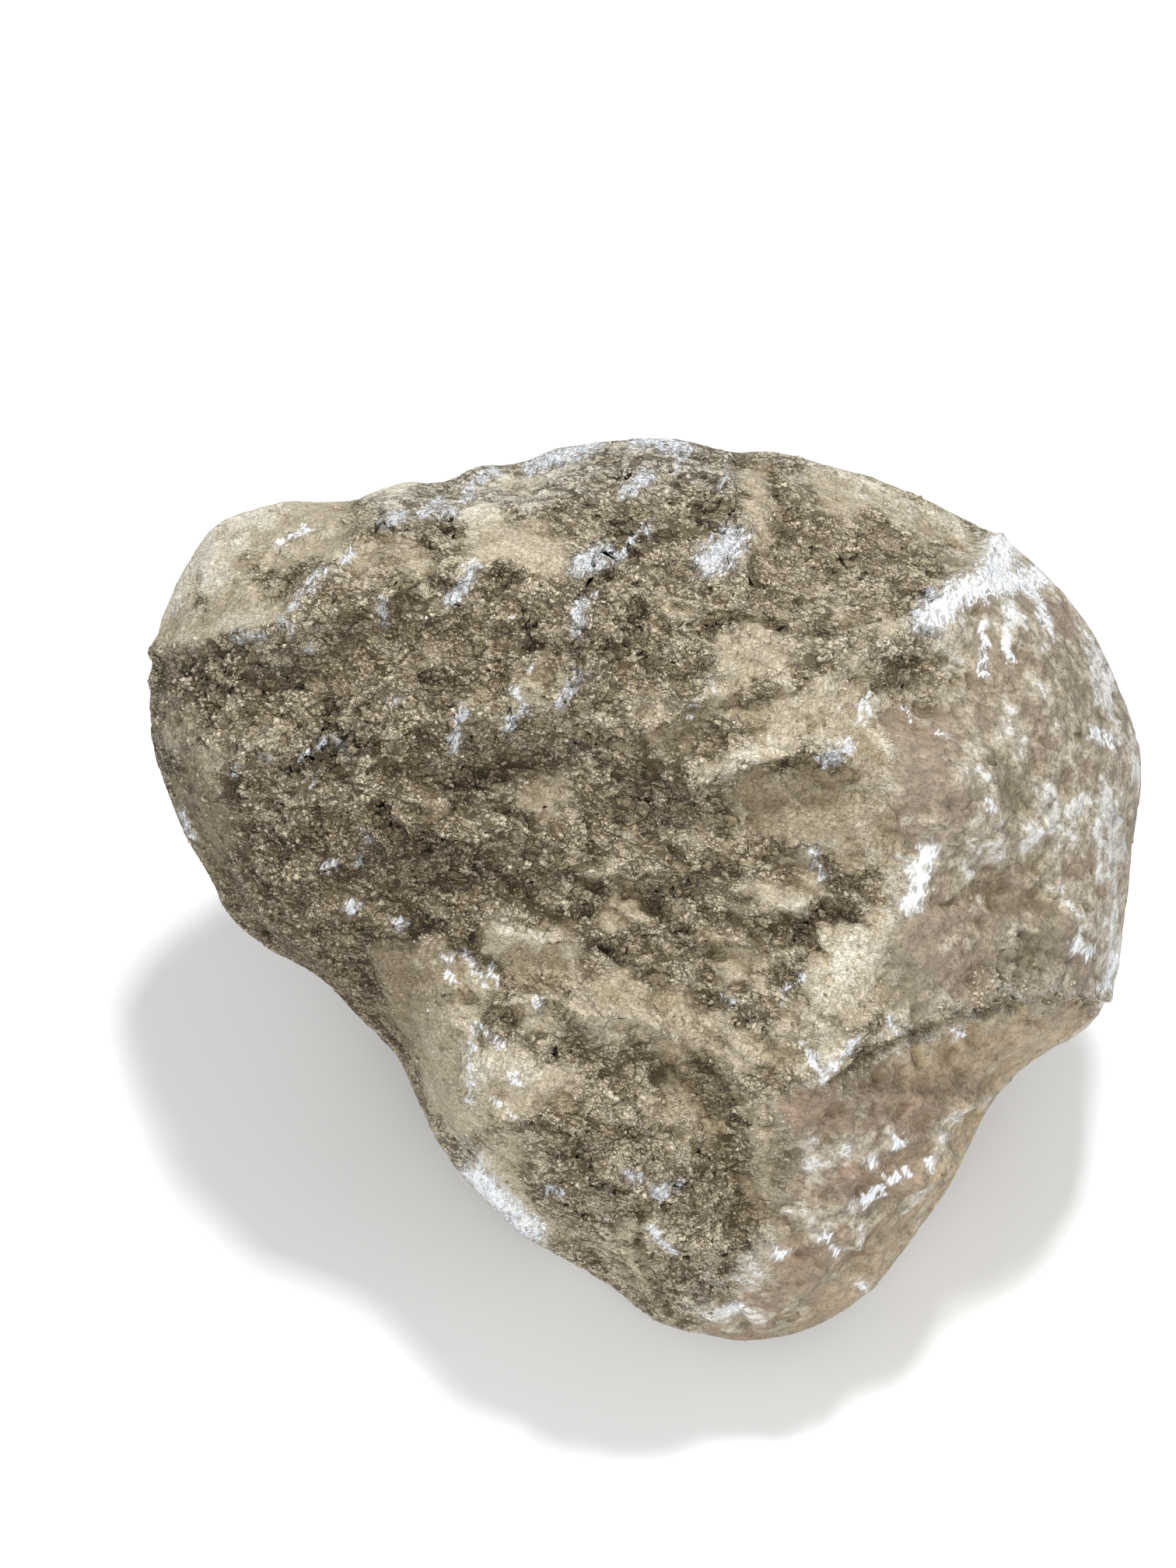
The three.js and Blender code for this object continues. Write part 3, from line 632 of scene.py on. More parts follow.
thinning = calcite_stone.modifiers.new("thinning", "DECIMATE")
thinning.ratio = SKIN_TRIANGLES / (2 * len(calcite_stone.data.polygons))
thinning.use_collapse_triangulate = True
bpy.ops.object.modifier_apply(modifier=thinning.name)
inside_part = np.clip(read_places(calcite_stone.data), np.array(part_low), np.array(part_high))
write_places(calcite_stone.data, inside_part)
bpy.ops.object.shade_smooth()
calcite_stone.vertex_groups.clear()
print("stone:", len(calcite_stone.data.polygons), "triangles")

# %% [markdown]
# ## Bruises and hollows
# Where the stone was knocked, calcite is crushed to a blue-white powder, in short streaks on crests and
# corners. The largest is the crushed corner at the upper right. A noise could scatter white spots over the
# stone, but a knock lands on what stands out, so each bruise is written down as a path with its width. The
# skin keeps how near it is to the closest one, and the material breaks that up into fibres. Hollows get
# painted shade instead: their depth is measured by easing the skin smooth and comparing the two.

# %% Marking the bruises
# in each area the bruises as a width and a path
BRUISES = {
    "upper right corner": [
        (8.2, (88, 83), (97, 91), (107, 95), (112, 105)), (6.3, (107, 94), (116, 95), (124, 97)),
        (2.4, (105, 82), (106, 73), (105, 66)), (2.2, (114, 89), (113, 79), (113, 70)),
        (2.9, (121, 92), (124, 85), (126, 79)), (2.4, (88, 92), (91, 88)),
    ],
    "crown": [
        (8.7, (21, 101), (25, 104), (28, 108)), (6.3, (-20, 99), (-16, 102), (-12, 103)),
        (2.2, (-6, 100), (-9, 105)), (2.2, (-4, 107), (-3, 109)), (2.2, (2, 112), (1, 110)),
    ],
    "spine": [
        (3.4, (-20, 86), (-20, 83), (-20, 79)), (1.4, (-20, 89), (-17, 89), (-14, 90)),
        (3.1, (-20, 66), (-23, 61), (-26, 57)), (1.9, (-35, 68), (-35, 67)), (2.2, (-39, 62), (-40, 60)),
        (2.9, (-37, 55), (-40, 53), (-42, 49)), (3.1, (-56, 55), (-57, 50), (-59, 43)),
        (1.7, (-78, 58), (-77, 57)),
    ],
    "top rim": [
        (3.9, (2, 128), (-1, 126), (-6, 122)), (2.2, (10, 132), (11, 131)), (1.9, (25, 126), (24, 125)),
        (5.5, (-34, 131), (-26, 134), (-17, 137)), (4.5, (-4, 139), (5, 139), (13, 136)),
        (2.6, (-46, 129), (-50, 127), (-53, 124)), (1.4, (-54, 122), (-58, 118), (-63, 114)),
    ],
    "brow": [
        (3.6, (-52, 100), (-55, 95), (-57, 92), (-60, 88)), (1.4, (-81, 89), (-80, 82)),
    ],
    "shoulder": [
        (2.6, (-63, 120), (-69, 115)), (3.4, (-76, 115), (-80, 112)),
        (2.4, (-90, 104), (-91, 102), (-93, 100)), (2.2, (-99, 99), (-102, 95), (-104, 92)),
        (1.4, (-104, 92), (-107, 89), (-109, 86)), (1.9, (-112, 83), (-111, 82), (-109, 81)),
        (1.4, (-109, 82), (-109, 79)), (1.4, (-126, 77), (-121, 78), (-115, 79)),
        (1.4, (-104, 75), (-103, 74)), (1.2, (-113, 107), (-108, 109), (-104, 111)),
    ],
    "left side": [
        (1.9, (-96, 47), (-101, 44), (-106, 40)), (1.4, (-96, 46), (-93, 43)), (1.4, (-118, 41), (-116, 40)),
        (1.4, (-126, 37), (-127, 35)), (1.4, (-103, 34), (-102, 33)), (1.7, (-86, 17), (-85, 16)),
        (2.4, (-98, 6), (-95, 8)), (1.9, (-88, 9), (-87, 7)), (3.1, (-92, -7), (-89, -5)),
        (2.2, (-76, -10), (-75, -12)), (1.7, (-143, 23), (-142, 20), (-140, 16)),
    ],
    "around the bulge": [
        (1.4, (22, 62), (19, 64)), (1.7, (17, 57), (15, 54)), (3.9, (56, 39), (60, 41), (64, 44)),
        (1.7, (70, 60), (69, 56), (67, 52)), (1.4, (81, 55), (83, 52)), (1.4, (92, 47), (93, 46)),
    ],
    "right side": [
        (1.7, (107, 27), (109, 24)), (3.4, (140, 48), (145, 45)),
        (5.3, (89, 12), (86, 5), (85, -2), (83, -6)), (1.7, (53, 11), (54, 7), (56, 4)),
        (3.4, (134, -18), (139, -20)), (3.1, (146, -22), (145, -27), (143, -31)),
    ],
    "bank and long ledge": [
        (1.9, (50, -27), (48, -29)), (1.9, (44, -32), (43, -34)), (1.4, (26, -34), (28, -36)),
        (2.4, (50, -49), (53, -53), (55, -59)), (2.6, (55, -59), (61, -54), (66, -47)),
        (2.2, (76, -41), (78, -44)), (1.7, (97, -45), (98, -47)),
    ],
    "lobe": [
        (2.6, (-34, -35), (-31, -37)), (1.2, (-61, -21), (-60, -25), (-59, -29)),
        (1.2, (-55, -20), (-52, -25), (-50, -29)), (1.2, (-48, -24), (-46, -27), (-44, -31)),
        (0.7, (-53, -43), (-53, -50), (-54, -59), (-53, -67)), (1.4, (-49, -43), (-48, -46), (-46, -48)),
        (2.4, (-44, -48), (-43, -50)), (2.6, (-42, -58), (-39, -60)), (1.9, (-46, -65), (-45, -67)),
        (1.7, (-39, -71), (-38, -73)),
    ],
    "foot": [
        (8.2, (-52, -90), (-45, -98), (-35, -107)), (2.6, (-30, -94), (-26, -94)),
        (2.6, (-4, -89), (-1, -90)), (3.6, (4, -95), (7, -94)), (2.4, (10, -92), (12, -92)),
        (2.4, (2, -106), (6, -110), (10, -114)), (2.6, (41, -113), (44, -114)),
        (2.4, (54, -108), (57, -109)), (2.2, (58, -112), (60, -113)), (2.9, (66, -123), (68, -124)),
        (2.2, (26, -131), (30, -130)),
    ],
    "lower right face": [
        (3.1, (78, -78), (80, -80)), (2.2, (88, -85), (90, -86)), (2.9, (70, -85), (72, -86)),
        (2.6, (82, -88), (75, -92), (66, -99)),
    ],
}
NARROWEST_BRUISE = 2.4
print("bruises:", sum(len(area) for area in BRUISES.values()))


def bruise_field(u, v, w):
    """1 along the middle of each bruise, one half at its edges, falling to 0 as far again outside it."""
    field = np.zeros(len(u))
    u, v = wander(u, v, size=5, reach=0.9)
    for width, *path in (bruise for area in BRUISES.values() for bruise in area):
        reach = max(width, NARROWEST_BRUISE)
        low_u, high_u = min(p[0] for p in path) - reach, max(p[0] for p in path) + reach
        near = np.nonzero((u > low_u) & (u < high_u))[0]
        distance, _ = along_path(u[near], v[near], path)
        strength = min(1, 0.55 + width / 6)
        field[near] = np.maximum(field[near], strength * np.clip(1 - distance / reach, 0, 1))
    return field * smooth_step(-2, 4, w)


# %% Depth of the hollows
def neighbour_mean(values, edges, counts):
    total = np.zeros_like(values)
    for axis in range(values.shape[1]):
        for a, b in ((0, 1), (1, 0)):
            total[:, axis] += np.bincount(edges[:, a], values[edges[:, b], axis], minlength=len(values))
    return total / counts[:, None]


def hollow_field(mesh, rounds):
    """How far each place lies under the average of its neighbourhood, in millimetres."""
    places, normals = read_places(mesh), read_normals(mesh)
    edges = np.empty(len(mesh.edges) * 2, int)
    mesh.edges.foreach_get("vertices", edges)
    edges = edges.reshape(-1, 2)
    counts = np.bincount(edges.ravel(), minlength=len(places)).astype(float)
    eased = places.copy()
    for _ in range(rounds):
        eased = neighbour_mean(eased, edges, counts)
    return np.einsum("ij,ij->i", eased - places, normals) / MM


def store_field(mesh, name, values):
    attribute = mesh.attributes.new(name, "FLOAT", "POINT")
    attribute.data.foreach_set("value", values.astype(np.float32))


def crack_field(u, v, w):
    """1 in the cracks and falling to 0 beside them."""
    field = np.zeros(len(u))
    for path, _, _ in CRACKS.values():
        distance, _ = along_path(u, v, path)
        field = np.maximum(field, smooth_step(1.8, 0.5, distance))
    return field * smooth_step(-2, 4, w)


fields, u, v, w, normals = surface_fields(calcite_stone.data)
cracked = crack_field(u, v, w)
# the cracks are painted darker too, as painted shade in them
fields["deep"] = np.maximum(fields["deep"], cracked)
fields["bruise"] = bruise_field(u, v, w)
# the depth of each hollow, used below for painted shade in the hollows
fields["hollow"] = hollow_field(calcite_stone.data, rounds=24)
for field_name, values in fields.items():
    store_field(calcite_stone.data, field_name, values)
    print(field_name, "mean", round(float(values.mean()), 3), "highest", round(float(values.max()), 2))

# %% [markdown]
# ## Loose crumbs
# Where the crust isn't rubbed smooth it is heaped with loose crumbs. One more displacement could suggest
# them, but it can't undercut, and the gaps under real crumbs are what makes the crust look loose. So two
# crumb shapes are modelled, a rounded one and a splinter. Each is copied by the thousand onto the skin,
# turned and squashed at random, and half sunk in. All crumbs of about one size are one mesh, because
# thousands of objects would slow everything down.

# %% Where the crumbs lie
CLUSTER_SIZE = 7 * MM

stone_mesh = calcite_stone.data
stone_places = read_places(stone_mesh)
corners = np.empty(len(stone_mesh.polygons) * 3, int)
stone_mesh.polygons.foreach_get("vertices", corners)
corners = corners.reshape(-1, 3)
triangles = stone_places[corners]
across_triangles = np.cross(triangles[:, 1] - triangles[:, 0], triangles[:, 2] - triangles[:, 0])
areas = np.linalg.norm(across_triangles, axis=1) / 2
outwards = across_triangles / np.maximum(2 * areas, 1e-12)[:, None]


def at_triangles(name):
    return fields[name][corners].mean(axis=1)


clusters = fractal_waves([Vector(middle) / CLUSTER_SIZE for middle in triangles.mean(axis=1)], 0.8, 3)
clusters = smooth_step(-0.5, 0.5, clusters)
crust_left = smooth_step(0.62, 0.3, at_triangles("bare") + 0.35 * (0.5 - clusters))
rubbed = np.maximum(at_triangles("smooth"), 0.85 * at_triangles("cream"))
unrubbed = smooth_step(0.85, 0.25, rubbed + 0.5 * (0.5 - clusters))
squareness = (normals @ np.array(OUT_OF_FACE))[corners].mean(axis=1)
facing = smooth_step(0.12, 0.5, squareness) + 0.3 * smooth_step(-0.2, -0.6, squareness)
crumb_density = crust_left * (0.04 + 0.96 * unrubbed) * (0.3 + 0.7 * clusters) * (0.05 + 0.95 * facing)
crumb_density *= smooth_step(0.5, 0.2, at_triangles("bruise")) * (1 - 0.9 * cracked[corners].mean(axis=1))
print("crumbs lie on", round(float((areas * crumb_density).sum()) / MM**2), "square millimetres")


# %% Heaping the crumbs
WHITE_CRUMBS = 0.003


def model_crumb(sides_cut):
    """A crumb of unit size: an icosahedron, or a splinter with fewer faces where sides are cut."""
    bpy.ops.object.select_all(action="DESELECT")
    bpy.ops.mesh.primitive_ico_sphere_add(subdivisions=1, radius=0.5)
    crumb = bpy.context.object
    if sides_cut:
        cut = crumb.modifiers.new("cut", "DECIMATE")
        cut.ratio = 0.5
        bpy.ops.object.modifier_apply(modifier=cut.name)
    shape = read_places(crumb.data)
    faces = np.array([list(polygon.vertices) for polygon in crumb.data.polygons])
    mesh = crumb.data
    bpy.data.objects.remove(crumb)
    bpy.data.meshes.remove(mesh)
    return shape, faces


def laid_turns(maker, homes):
    """Rotation matrices that lay crumbs along the flakes, swung and tilted at random."""
    out = outwards[homes]
    along = np.array(FLAKE_AXES)[:, 0] + maker.normal(0, 0.45, out.shape)
    out = out + maker.normal(0, 0.35, out.shape)
    out /= np.linalg.norm(out, axis=1)[:, None]
    along -= out * np.einsum("ij,ij->i", along, out)[:, None]
    along /= np.linalg.norm(along, axis=1)[:, None]
    return np.stack((along, np.cross(out, along), out), axis=2)


def heap_crumbs(name, count, smallest, largest, sides_cut, seed):
    """One object of many crumbs on the skin, their sizes in millimetres, with a tone for each."""
    shape, faces = model_crumb(sides_cut)
    maker = np.random.default_rng(seed)
    chances = areas * crumb_density
    homes = maker.choice(len(areas), count, p=chances / chances.sum())
    first, second = maker.random((2, count))
    first, second = np.where(first + second > 1, (1 - first, 1 - second), (first, second))
    a, b, c = triangles[homes].transpose(1, 0, 2)
    middles = a + (b - a) * first[:, None] + (c - a) * second[:, None]
    sizes = (smallest + (largest - smallest) * maker.random(count) ** 2) * (0.45 + 0.55 * facing[homes]) * MM
    squashed = shape[None] * maker.uniform((0.8, 0.65, 0.55), (1.6, 1.2, 1.0), (count, 1, 3))
    squashed = squashed + maker.normal(0, 0.12, squashed.shape)
    turned = np.einsum("nij,nkj->nki", laid_turns(maker, homes), squashed) * sizes[:, None, None]
    rise = np.einsum("nij,nj->ni", turned, outwards[homes]) / sizes[:, None]
    middles = middles + outwards[homes] * (sizes * maker.uniform(-0.4, 0.05, count))[:, None]
    places = np.clip((turned + middles[:, None]).reshape(-1, 3), np.array(part_low), np.array(part_high))
    mesh = bpy.data.meshes.new(name)
    numbered = (faces[None] + np.arange(count)[:, None, None] * len(shape)).reshape(-1, 3)
    mesh.from_pydata(places, [], numbered)
    mesh.polygons.foreach_set("use_smooth", np.ones(len(mesh.polygons), bool))
    # the height of each vertex along the skin's normal, kept for the painted shade towards each crumb's foot
    store_field(mesh, "rise", rise.ravel())
    # painted shade: crumbs are darker where the skin is shaded, and lighter where the film is cream
    tone = 0.5 + 0.07 * maker.normal(size=count) - 0.4 * at_triangles("deep")[homes]
    tone += 0.3 * at_triangles("cream")[homes]
    # painted shade: crumbs are darker in the hollows of the skin
    tone -= 0.3 * np.clip(at_triangles("hollow")[homes], -0.6, 1.2)
    tone = np.where(maker.random(count) < WHITE_CRUMBS, 2.0, np.clip(tone, 0, 1))
    store_field(mesh, "tone", np.repeat(tone, len(shape)))
    heap = new_object(name, mesh)
    print(name + ":", count, "crumbs,", len(mesh.polygons), "triangles")
    return heap


crumb_heaps = [
    heap_crumbs("large_crumbs", 5000, smallest=1.1, largest=1.9, sides_cut=False, seed=21),
    heap_crumbs("small_crumbs", 19500, smallest=0.7, largest=1.3, sides_cut=True, seed=22),
    heap_crumbs("fine_crumbs", 19500, smallest=0.55, largest=1.05, sides_cut=True, seed=23),
    heap_crumbs("dust_crumbs", 19500, smallest=0.45, largest=0.9, sides_cut=True, seed=24),
]

# %% [markdown]
# ## Patterns
# The stone's patterns are a crumbly grain, clefts between clods, the mottle of bare calcite, the ragged edge
# where one surface ends, and the fibres of a bruise. Images of them would need the stone unwrapped, and would
# blur from near by. So each is a node group of noises and cells, with its sizes in millimetres as inputs, and
# is built once and used again at other sizes where it comes back, as the clefts and the edges do. The
# patterns read the stone's own coordinates, so that they run through the stone and don't slide over it. Two
# small classes keep each node to about a line.


# %% Tools for building nodes
class Nodes:
    """Adds nodes to one tree. A number or a colour is set on its socket, and an output is linked to it."""

    def __init__(self, tree):
        self.tree = tree

    def feed(self, socket, value):
        if isinstance(value, bpy.types.NodeSocket):
            self.tree.links.new(value, socket)
        else:
            socket.default_value = value

    def add(self, kind, inputs, **settings):
        node = self.tree.nodes.new("ShaderNode" + kind)
        for name, value in settings.items():
            setattr(node, name, value)
        for label, value in inputs.items():
            self.feed(node.inputs[label], value)
        return node

    def math(self, operation, *values):
        return self.add("Math", dict(enumerate(values)), operation=operation).outputs[0]

    def times(self, first, second):
        return self.math("MULTIPLY", first, second)

    def times_plus(self, first, second, third):
        return self.math("MULTIPLY_ADD", first, second, third)

    def metres(self, millimetres):
        return self.times(millimetres, MM)

    def vector(self, operation, first, second):
        place = "Scale" if operation == "SCALE" else 1
        return self.add("VectorMath", {0: first, place: second}, operation=operation).outputs[0]

    def remap(self, value, low, high, new_low=0.0, new_high=1.0, kind="SMOOTHSTEP"):
        ends = {"Value": value, "From Min": low, "From Max": high, "To Min": new_low, "To Max": new_high}
        return self.add("MapRange", ends, interpolation_type=kind).outputs["Result"]

    def linear(self, value, low, high, new_low=0.0, new_high=1.0):
        return self.remap(value, low, high, new_low, new_high, "LINEAR")

    def mix(self, share, first, second, blend="MIX"):
        colours = {"Factor": share, 6: first, 7: second}
        return self.add("Mix", colours, data_type="RGBA", blend_type=blend).outputs[2]

    def noise(self, place, size, detail, roughness=0.55, distortion=0.0, output="Fac"):
        """A noise whose features are about size metres across."""
        inputs = {"Vector": place, "Scale": self.math("DIVIDE", 1.0, size), "Detail": detail}
        inputs |= {"Roughness": roughness, "Distortion": distortion}
        return self.add("TexNoise", inputs).outputs[output]

    def cells(self, place, size, feature):
        """Lumps about size metres across."""
        inputs = {"Vector": place, "Scale": self.math("DIVIDE", 1.0, size)}
        return self.add("TexVoronoi", inputs, feature=feature).outputs

    def lumps(self, place, size):
        """The distance from the middle of the nearest lump, and one tone for each lump."""
        cell = self.cells(place, size, "F1")
        return cell["Distance"], self.add("SeparateColor", {0: cell["Color"]}).outputs[0]

    def warped(self, place, size, reach):
        """A place moved about by up to reach, in waves about size metres long."""
        waves = self.noise(place, size, 3.0, 0.5, output="Color")
        centred = self.vector("SUBTRACT", waves, (0.5, 0.5, 0.5))
        return self.vector("ADD", place, self.vector("SCALE", centred, reach))

    def stone_place(self):
        return self.add("TexCoord", {}).outputs["Object"]

    def laid_place(self, lie, stretch, axis):
        """The stone's own coordinates, turned to a lie on the broad face and drawn out along one axis."""
        turned = self.add("Mapping", {"Vector": self.stone_place(), "Rotation": lie}, vector_type="TEXTURE")
        lengths = self.add("CombineXYZ", {0: 1, 1: 1, 2: 1, axis: stretch})
        return self.vector("DIVIDE", turned.outputs[0], lengths.outputs[0])


# %% A pattern of its own
class Pattern(Nodes):
    """A shader node group with named inputs, held in given, and named outputs."""

    def __init__(self, name, **inputs):
        super().__init__(bpy.data.node_groups.new(name, "ShaderNodeTree"))
        for label, value in inputs.items():
            self.new_socket(label, "INPUT").default_value = value
        self.given = self.tree.nodes.new("NodeGroupInput").outputs

    def new_socket(self, label, way):
        label = label.replace("_", " ")
        return self.tree.interface.new_socket(label, in_out=way, socket_type="NodeSocketFloat")

    def give(self, **outputs):
        ends = self.tree.nodes.new("NodeGroupOutput")
        for label, value in outputs.items():
            self.new_socket(label, "OUTPUT")
            self.feed(ends.inputs[label], value)
        print(self.tree.name + ":", len(self.tree.nodes), "nodes")


FLAKE_LIE = (math.radians(90) - FACE_LEAN, math.radians(-18), math.radians(-24))
FIBRE_LIE = (math.radians(90) - FACE_LEAN, 0, math.radians(-28))

# %% Crumbly grain
earth = Pattern("Crumbly grain", Crumb_Size=1.1, Flake_Size=6.0, Stretch=1.5)
crumb_size = earth.metres(earth.given["Crumb Size"])
place = earth.laid_place(FLAKE_LIE, earth.given["Stretch"], 0)
flakes = earth.noise(place, earth.metres(earth.given["Flake Size"]), 4.0, 0.6, 0.3)
grit = earth.noise(place, earth.times(crumb_size, 0.8), 2.0, 0.8)
bent = earth.warped(place, earth.times(crumb_size, 1.6), crumb_size)
off_middle, tone = earth.lumps(bent, crumb_size)
open_ground = earth.times_plus(flakes, -0.9, earth.times_plus(grit, -0.9, off_middle))
sunk = earth.times_plus(off_middle, -0.7, earth.times(tone, 0.35))
height = earth.times_plus(flakes, 2.2, earth.times_plus(grit, 0.8, sunk))
gaps = earth.remap(open_ground, -0.42, -0.26)
earth.give(Height=height, Gaps=gaps, Grit=grit, Tone=tone, Flakes=flakes)

# %% Clefts between clods
clods = Pattern("Clefts between clods", Clod_Size=3.0, Stretch=1.6, Reach=0.14)
clod_size = clods.metres(clods.given["Clod Size"])
place = clods.laid_place(FLAKE_LIE, clods.given["Stretch"], 0)
bent = clods.warped(place, clods.times(clod_size, 0.7), clods.times(clod_size, 0.9))
off_edge = clods.cells(bent, clod_size, "DISTANCE_TO_EDGE")["Distance"]
loosened = clods.noise(place, clods.times(clod_size, 2.2), 3.0, 0.6)
width = clods.linear(loosened, 0.4, 0.62, 0.0, clods.given["Reach"])
clods.give(Clefts=clods.remap(clods.math("SUBTRACT", width, off_edge), -0.01, 0.05))

# %% Calcite mottle
curd = Pattern("Calcite mottle", Patch_Size=12.0, Curd_Size=3.5, Stretch=1.4)
place = curd.laid_place(FLAKE_LIE, curd.given["Stretch"], 0)
curd_size = curd.metres(curd.given["Curd Size"])
patches = curd.noise(place, curd.metres(curd.given["Patch Size"]), 5.0, 0.66)
fine = curd.noise(place, curd.times(curd_size, 0.3), 3.0, 0.75)
off_middle, tone = curd.lumps(curd.warped(place, curd_size, curd_size), curd_size)
curdled = curd.times_plus(off_middle, -0.14, curd.times_plus(patches, 1.4, -0.2))
curdled = curd.times_plus(fine, 0.25, curdled)
lumpy = curd.times_plus(off_middle, -1.0, curd.times(fine, 0.7))
height = curd.times_plus(patches, 3.0, lumpy)
creases = curd.remap(off_middle, 0.45, 0.7)
curd.give(Patches=patches, Curds=curdled, Grit=fine, Creases=creases, Tone=tone, Height=height)

# %% Broken edge
edge = Pattern("Broken edge", Field=0.0, Grain=0.5, Raggedness=0.5, Softness=0.06, Threshold=0.5)
swing = edge.math("SUBTRACT", edge.given["Grain"], 0.5)
ragged = edge.times_plus(swing, edge.given["Raggedness"], edge.given["Field"])
low_edge = edge.math("SUBTRACT", edge.given["Threshold"], edge.given["Softness"])
high_edge = edge.math("ADD", edge.given["Threshold"], edge.given["Softness"])
edge.give(Mask=edge.remap(ragged, low_edge, high_edge))

# %% Crushed fibres
fibre = Pattern("Crushed fibres", Fibre_Width=0.8, Stretch=5.0)
place = fibre.laid_place(FIBRE_LIE, fibre.given["Stretch"], 1)
fibre.give(Fibres=fibre.noise(place, fibre.metres(fibre.given["Fibre Width"]), 2.0))

# %% [markdown]
# ## The stone's material
# A material for each surface would end in a hard line between faces, and on the stone one fades or crumbles
# into the next. So there is one material, and masks choose between layers, which go on in the order that they
# lie on the stone: calcite with its honey-coloured bands, the crust with its pale films and its gaps painted
# dark as painted shadow, painted shade in the hollows, and last the bruises, which break through all of it.


# %% A material of its own
class Finish(Nodes):
    """A material, and the nodes that lead to its Principled BSDF."""

    def __init__(self, name, specular):
        self.material = bpy.data.materials.new(name)
        self.material.use_nodes = True
        super().__init__(self.material.node_tree)
        self.end({"Specular IOR Level": specular})

    def end(self, inputs):
        for label, value in inputs.items():
            self.feed(self.tree.nodes["Principled BSDF"].inputs[label], value)

    def use(self, pattern, **settings):
        inputs = {label.replace("_", " "): value for label, value in settings.items()}
        return self.add("Group", inputs, node_tree=pattern.tree).outputs

    def painted(self, name):
        return self.add("Attribute", {}, attribute_name=name).outputs["Fac"]

    def shade(self, colour, value):
        return self.mix(1.0, colour, value, "MULTIPLY")

    def tint(self, colour, share, tint):
        return self.mix(share, colour, tint, "MULTIPLY")

    def broken(self, field, grain, raggedness, softness, threshold=0.5):
        look = {"Raggedness": raggedness, "Softness": softness, "Threshold": threshold}
        return self.use(edge, Field=field, Grain=grain, **look)["Mask"]

    def clefts(self):
        wide = self.use(clods, Clod_Size=5.0, Stretch=2.2, Reach=0.11)["Clefts"]
        narrow = self.use(clods, Clod_Size=2.0, Stretch=1.8, Reach=0.16)["Clefts"]
        return self.math("MAXIMUM", wide, self.times(narrow, 0.8))


# the dark brown of painted shadow in the clefts between clods
CLEFT_SHADOW_COLOUR = (0.115, 0.087, 0.047, 1)

# %% Patterns of the stone
finish = Finish("crusted_calcite", 0.35)
grain = finish.use(earth, Crumb_Size=0.75, Flake_Size=6.0, Stretch=1.5)
mottle = finish.use(curd, Patch_Size=18.0, Curd_Size=3.2, Stretch=1.4)
fibres = finish.use(fibre, Fibre_Width=0.9, Stretch=4.0)["Fibres"]
broad_tone = finish.noise(finish.stone_place(), 0.032, 2.0, 0.5)
clefts = finish.clefts()
flakes, blotches = grain["Flakes"], mottle["Patches"]
bare, bruise, cream = (finish.painted(name) for name in ("bare", "bruise", "cream"))

# %% Calcite: an olive-brown film with beige and chalky curds, honey-coloured and reddish in places, with painted shade in the creases between curds and fewer pale curds under painted shade
curds = finish.times_plus(cream, 0.15, mottle["Curds"])
# fewer pale curds where the painted shade lies
curds = finish.times_plus(finish.painted("deep"), -0.1, curds)
calcite = finish.mix(finish.remap(broad_tone, 0.35, 0.65), (0.27, 0.21, 0.155, 1), (0.255, 0.22, 0.155, 1))
calcite = finish.mix(finish.remap(curds, 0.47, 0.56), calcite, (0.335, 0.285, 0.21, 1))
calcite = finish.mix(finish.remap(curds, 0.54, 0.62), calcite, (0.425, 0.378, 0.3, 1))
calcite = finish.mix(finish.remap(curds, 0.64, 0.72), calcite, (0.62, 0.61, 0.58, 1))
honey_mask = finish.times(finish.painted("honey"), finish.remap(blotches, 0.66, 0.42))
calcite = finish.mix(honey_mask, calcite, (0.45, 0.375, 0.245, 1))
warm_mask = finish.times(finish.painted("warm"), finish.remap(blotches, 0.58, 0.42))
calcite = finish.mix(finish.times(warm_mask, 0.5), calcite, (0.34, 0.21, 0.135, 1))
calcite = finish.shade(calcite, finish.remap(mottle["Grit"], 0.36, 0.52, 0.72, 1.04))
calcite = finish.shade(calcite, finish.linear(mottle["Tone"], 0.0, 1.0, 0.92, 1.08))
# painted shade: the creases between curds are darker
calcite = finish.shade(calcite, finish.linear(mottle["Creases"], 0.0, 1.0, 1.03, 0.8))

# %% Crust: brown crumbs with gaps and clefts painted dark as painted shadow, rubbed smooth to khaki, cream where it thins towards bare calcite, and darkened by painted shade
crust = finish.mix(finish.remap(flakes, 0.34, 0.66), (0.38, 0.321, 0.236, 1), (0.475, 0.419, 0.314, 1))
rub_mask = finish.broken(finish.painted("smooth"), flakes, 1.2, 0.22)
crust = finish.mix(finish.times(rub_mask, 0.65), crust, (0.43, 0.375, 0.272, 1))
darkest_streak = finish.remap(rub_mask, 0.0, 1.0, 1.0, 0.86)
crust = finish.shade(crust, finish.remap(fibres, 0.3, 0.7, darkest_streak, 1.08))
cream_field = finish.math("MAXIMUM", cream, finish.remap(bare, 0.12, 0.5, 0.0, 0.85))
film_grain = finish.times_plus(finish.math("SUBTRACT", fibres, 0.5), 0.6, blotches)
cream_mask = finish.broken(cream_field, film_grain, 1.9, 0.3, 0.55)
crust = finish.mix(finish.times(cream_mask, 0.8), crust, (0.65, 0.613, 0.525, 1))
crust = finish.shade(crust, finish.linear(grain["Tone"], 0.0, 1.0, 0.88, 1.12))
crust = finish.shade(crust, finish.remap(grain["Grit"], 0.36, 0.62, 0.8, 1.16))
